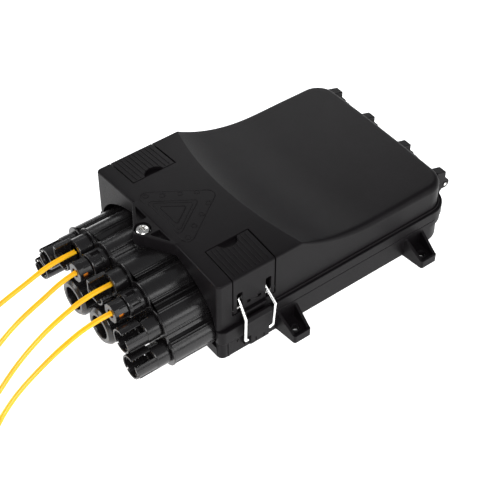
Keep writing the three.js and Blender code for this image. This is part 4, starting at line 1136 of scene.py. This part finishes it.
def gland_port(n, x, z):
    collar = turned("y", x, z, [(4.4, -45), (7.9, -45), (8.3, -44.8), (8.5, -44.2), (8.5, -LIP - 1.3),
                                (8.15, -LIP - 1.1), (8.15, -LIP - 0.35), (5.9, -LIP - 0.35), (5.9, -LIP + 7),
                                (4.4, -LIP + 7)], 64)
    windows = [prism("y", sector(x, z, 12, 6.4, 45 * i - 15, 45 * i + 15, 5), -42.6, -36) for i in range(8)]
    collar = cut(collar, *windows)
    piece(f"gland_collar_piece_{n}", collar, "base", [f"gland_collar_{n}"], "port_plastic", edge=0.12)
    nut = prism("y", fillet(circle(x, z, 7.15, 10, 0.3), 0.7, 3), -55.2, -45.35, 0.5)
    tools = [rod("y", x, z, 5.3, -54, -30, 48), rod("y", x, z, 3.2, -70, -30, 40)]
    tools += [block(x + 2.4, x + 12, -52.6, -48.8, z - 1.6, z + 2.4),
              block(x - 12, x - 2.4, -52.6, -48.8, z - 2.4, z + 1.6)]
    tools += [prism("y", sector(x, z, 9, 6.75, a - 5, a + 5, 3), -51, -44)
              for a in (52, 90, 128, 232, 270, 308)]
    piece(f"gland_nut_piece_{n}", cut(nut, *tools), f"gland_{n}", [f"gland_nut_{n}"], "port_plastic",
          edge=0.14)
    seal = turned("y", x, z, [(2.35, -53.6), (4.4, -53.6), (5.0, -53.0), (5.0, -49.6), (4.5, -49.2),
                              (5.0, -48.8), (5.0, -45.9), (2.35, -45.9)], 40)
    piece(f"amber_seal_{n}", seal, "base", [f"gland_seal_{n}"], "amber_seal")


def main_port(n, x):
    z, r, hole, tip = MAIN_Z, 13.7, 8.3, 56.8
    profile = [(hole, -tip + 1.0), (hole + 0.3, -tip + 0.35), (hole + 1, -tip), (r - 2.6, -tip),
               (r - 2.0, -tip + 0.25), (r - 0.35, -tip + 2.0), (r, -tip + 2.8), (r, -37), (r - 0.6, -36.2),
               (12.5, -36), (12.5, -51.4), (hole, -51.4)]
    nut = turned("y", x, z, profile, 72)
    grooves = [prism("y", sector(x, z, 15, 13.15, a - 2.4, a + 2.4, 2), -52.4, -35)
               for a in range(0, 360, 20)]
    piece(f"main_nut_piece_{n}", cut(nut, *grooves), f"main_nut_{n}", [f"main_port_nut_{n}"], "port_plastic",
          edge=0.14)
    bushing = turned("y", x, z, [(7.6, -50.4), (8.0, -50.8), (10.2, -50.8), (10.5, -50.5), (10.5, -47.4),
                                 (10.1, -47), (10.5, -46.6), (10.5, -41.8), (10.2, -41.5), (7.6, -41.5)], 56)
    piece(f"main_bushing_piece_{n}", bushing, "base", [f"main_port_bushing_{n}"], "gasket")


# ------------------------------------------------------------------ inside the box
def inside_parts():
    outer = prism("z", plan(52, 74, 187, 5, 9), 12, 21, 0.3)
    inner = prism("z", plan(50.4, 75.6, 185.4, 3.6, 7.6), 13.6, 30)
    tray = cut(outer, inner)
    spool = [(13.4, 13.2), (15, 13.2), (15, 19.8), (14.8, 20), (13.6, 20), (13.4, 19.8)]
    parts = [turned("z", x, 131, spool, 48) for x in (-26, 26)]
    parts += [block(x - 0.6, x + 0.6, 116, 146, 13, 18.6, 0, 0.15) for x in (-6, -2, 2, 6)]
    parts += [block(x - 3.5, x + 3.5, y - 0.7, y + 0.7, 19.6, 20.7, 0, 0.1) for x, y in
              ((-44, 96), (44, 96), (-20, 76.6), (20, 76.6), (-44, 168), (44, 168))]
    tray = joined(tray, *parts)
    piece("fibre_tray", tray, "base", ["splice_tray"], "tray", edge=0.2)
    sheet = cut(prism("z", plan(49.8, 76.2, 150, 3, 1), 21.4, 23, 0.2), rod("z", 0, 78, 6, 20, 30, 40))
    piece("fibre_tray_cover", sheet, "base", ["tray_cover"], "tray_clear")
    case = prism("z", rect(-30, 30, 158, 166, 0.8), 14, 20.6, 0.5)
    piece("splitter_case", case, "base", ["splitter_module"], "steel")
    rail = block(-52, 52, 40, 43, 2.95, 26, 0, 0.3)
    seats = [block(x - 5, x + 5, 35, 50, 11.6, 21.4) for x in (-36, -12, 12, 36)]
    slots = [block(x - 3, x + 3, 35, 50, 23, 24.4) for x in (-46, -24, 0, 24, 46)]
    piece("rail", cut(rail, *seats, *slots), "base", ["adapter_rail"], "port_plastic", edge=0.15)
    for i, x in enumerate((-36, -12, 12, 36)):
        body = block(x - 4.6, x + 4.6, 30, 53, 12, 21, 0.4, 0.25)
        flange = block(x - 6.6, x + 6.6, 37.4, 39.6, 11.2, 21.8, 0.3, 0.2)
        body = cut(joined(body, flange), block(x - 3.4, x + 3.4, 29, 60, 13.2, 19.8),
                   block(x - 1.2, x + 1.2, 29, 35, 18, 24), block(x - 1.2, x + 1.2, 48, 60, 18, 24))
        piece(f"adapter_{i + 1}", body, "base", [f"fibre_adapter_{i + 1}"], "adapter_green", edge=0.12)
    gasket = cut(prism("z", plan(68.6, 8, 198.4, 2, 14.2, 14), 15.75, 17.8, 0.5),
                 prism("z", plan(66.4, 12, 196.4, 1, 12, 14), 14, 20), block(-66.4, 66.4, 0, 14, 10, 40))
    piece("rim_gasket", gasket, "base", ["lid_gasket"], "gasket")


lid_shell()
lid_relief()
latches()
base_shell()
fasteners()
port_block()
for number, (px, pz, kind) in PORTS.items():
    {"jaw": jaw_port, "trough": trough_port, "gland": gland_port}[kind](number, px, pz)
for number, px in MAINS.items():
    main_port(number, px)
inside_parts()


# ------------------------------------------------------------------ floor and light
FLOOR_HALF = 4.0


def stage():
    """A white floor that glows slightly, with a painted shadow (no glow) where it shows through the ears'
    holes, and soft lamps.
    """
    mesh = bpy.data.meshes.new("floor")
    corners = rect(-FLOOR_HALF, FLOOR_HALF, -FLOOR_HALF, FLOOR_HALF)
    mesh.from_pydata([(x, y, 0) for x, y in corners], [], [(0, 1, 2, 3)])
    floor = placed("floor", mesh)
    mat = bpy.data.materials.new("floor")
    mat.use_nodes = True
    shader = mat.node_tree.nodes["Principled BSDF"]
    shader.inputs["Base Color"].default_value = (0.85, 0.85, 0.85, 1)
    shader.inputs["Roughness"].default_value = 0.9
    shader.inputs["Specular IOR Level"].default_value = 0.1
    shader.inputs["Emission Color"].default_value = (1, 1, 1, 1)
    nodes, links = mat.node_tree.nodes, mat.node_tree.links
    # painted shadow: the floor's glow is off within 4 mm of each ear hole and fades back in by 6 mm, so the
    # floor seen through the holes looks shaded by the box
    where = nodes.new("ShaderNodeTexCoord")
    fold = nodes.new("ShaderNodeVectorMath")
    fold.operation = "ABSOLUTE"
    ears = at((80.7, 112.5, 0))
    centre = nodes.new("ShaderNodeVectorMath")
    centre.operation = "SUBTRACT"
    centre.inputs[1].default_value = (0, ears.y, 0)
    links.new(where.outputs["Object"], centre.inputs[0])
    links.new(centre.outputs["Vector"], fold.inputs[0])
    hole_shadow_distance = nodes.new("ShaderNodeVectorMath")
    hole_shadow_distance.operation = "DISTANCE"
    hole_shadow_distance.inputs[1].default_value = (ears.x, 57 * MM, 0)
    links.new(fold.outputs["Vector"], hole_shadow_distance.inputs[0])
    glow_with_painted_hole_shadow = nodes.new("ShaderNodeMapRange")
    for key, number in zip(("From Min", "From Max", "To Min", "To Max"), (0.004, 0.006, 0, 0.8)):
        glow_with_painted_hole_shadow.inputs[key].default_value = number
    links.new(hole_shadow_distance.outputs["Value"], glow_with_painted_hole_shadow.inputs["Value"])
    links.new(glow_with_painted_hole_shadow.outputs["Result"], shader.inputs["Emission Strength"])
    mesh.materials.append(mat)

    world = bpy.data.worlds.new("world")
    world.use_nodes = True
    sky = world.node_tree.nodes["Background"].inputs
    sky["Color"].default_value, sky["Strength"].default_value = (0.95, 0.97, 1, 1), 0.3
    bpy.context.scene.world = world

    def lamp(name, where, target, size, power):
        data = bpy.data.lights.new(name, "AREA")
        data.shape, data.size, data.size_y = "RECTANGLE", size[0], size[1]
        data.energy = power
        obj = placed(name, data)
        obj.location = where
        obj.rotation_euler = (Vector(target) - Vector(where)).to_track_quat("-Z", "Y").to_euler()

    lamp("behind", (-0.62, 0.62, 0.62), (-0.05, 0.1, 0.03), (0.7, 0.5), 3)
    lamp("key", (1.2, -0.7, 1.3), (0, -0.05, 0.02), (0.8, 0.8), 26)
    lamp("front", (-0.9, -1.3, 0.9), (0, -0.05, 0.02), (0.9, 0.7), 14)
    lamp("side", (1.1, 0.6, 0.5), (0, 0.05, 0.02), (0.8, 0.5), 4)


stage()
bpy.context.scene.view_settings.view_transform = "Standard"
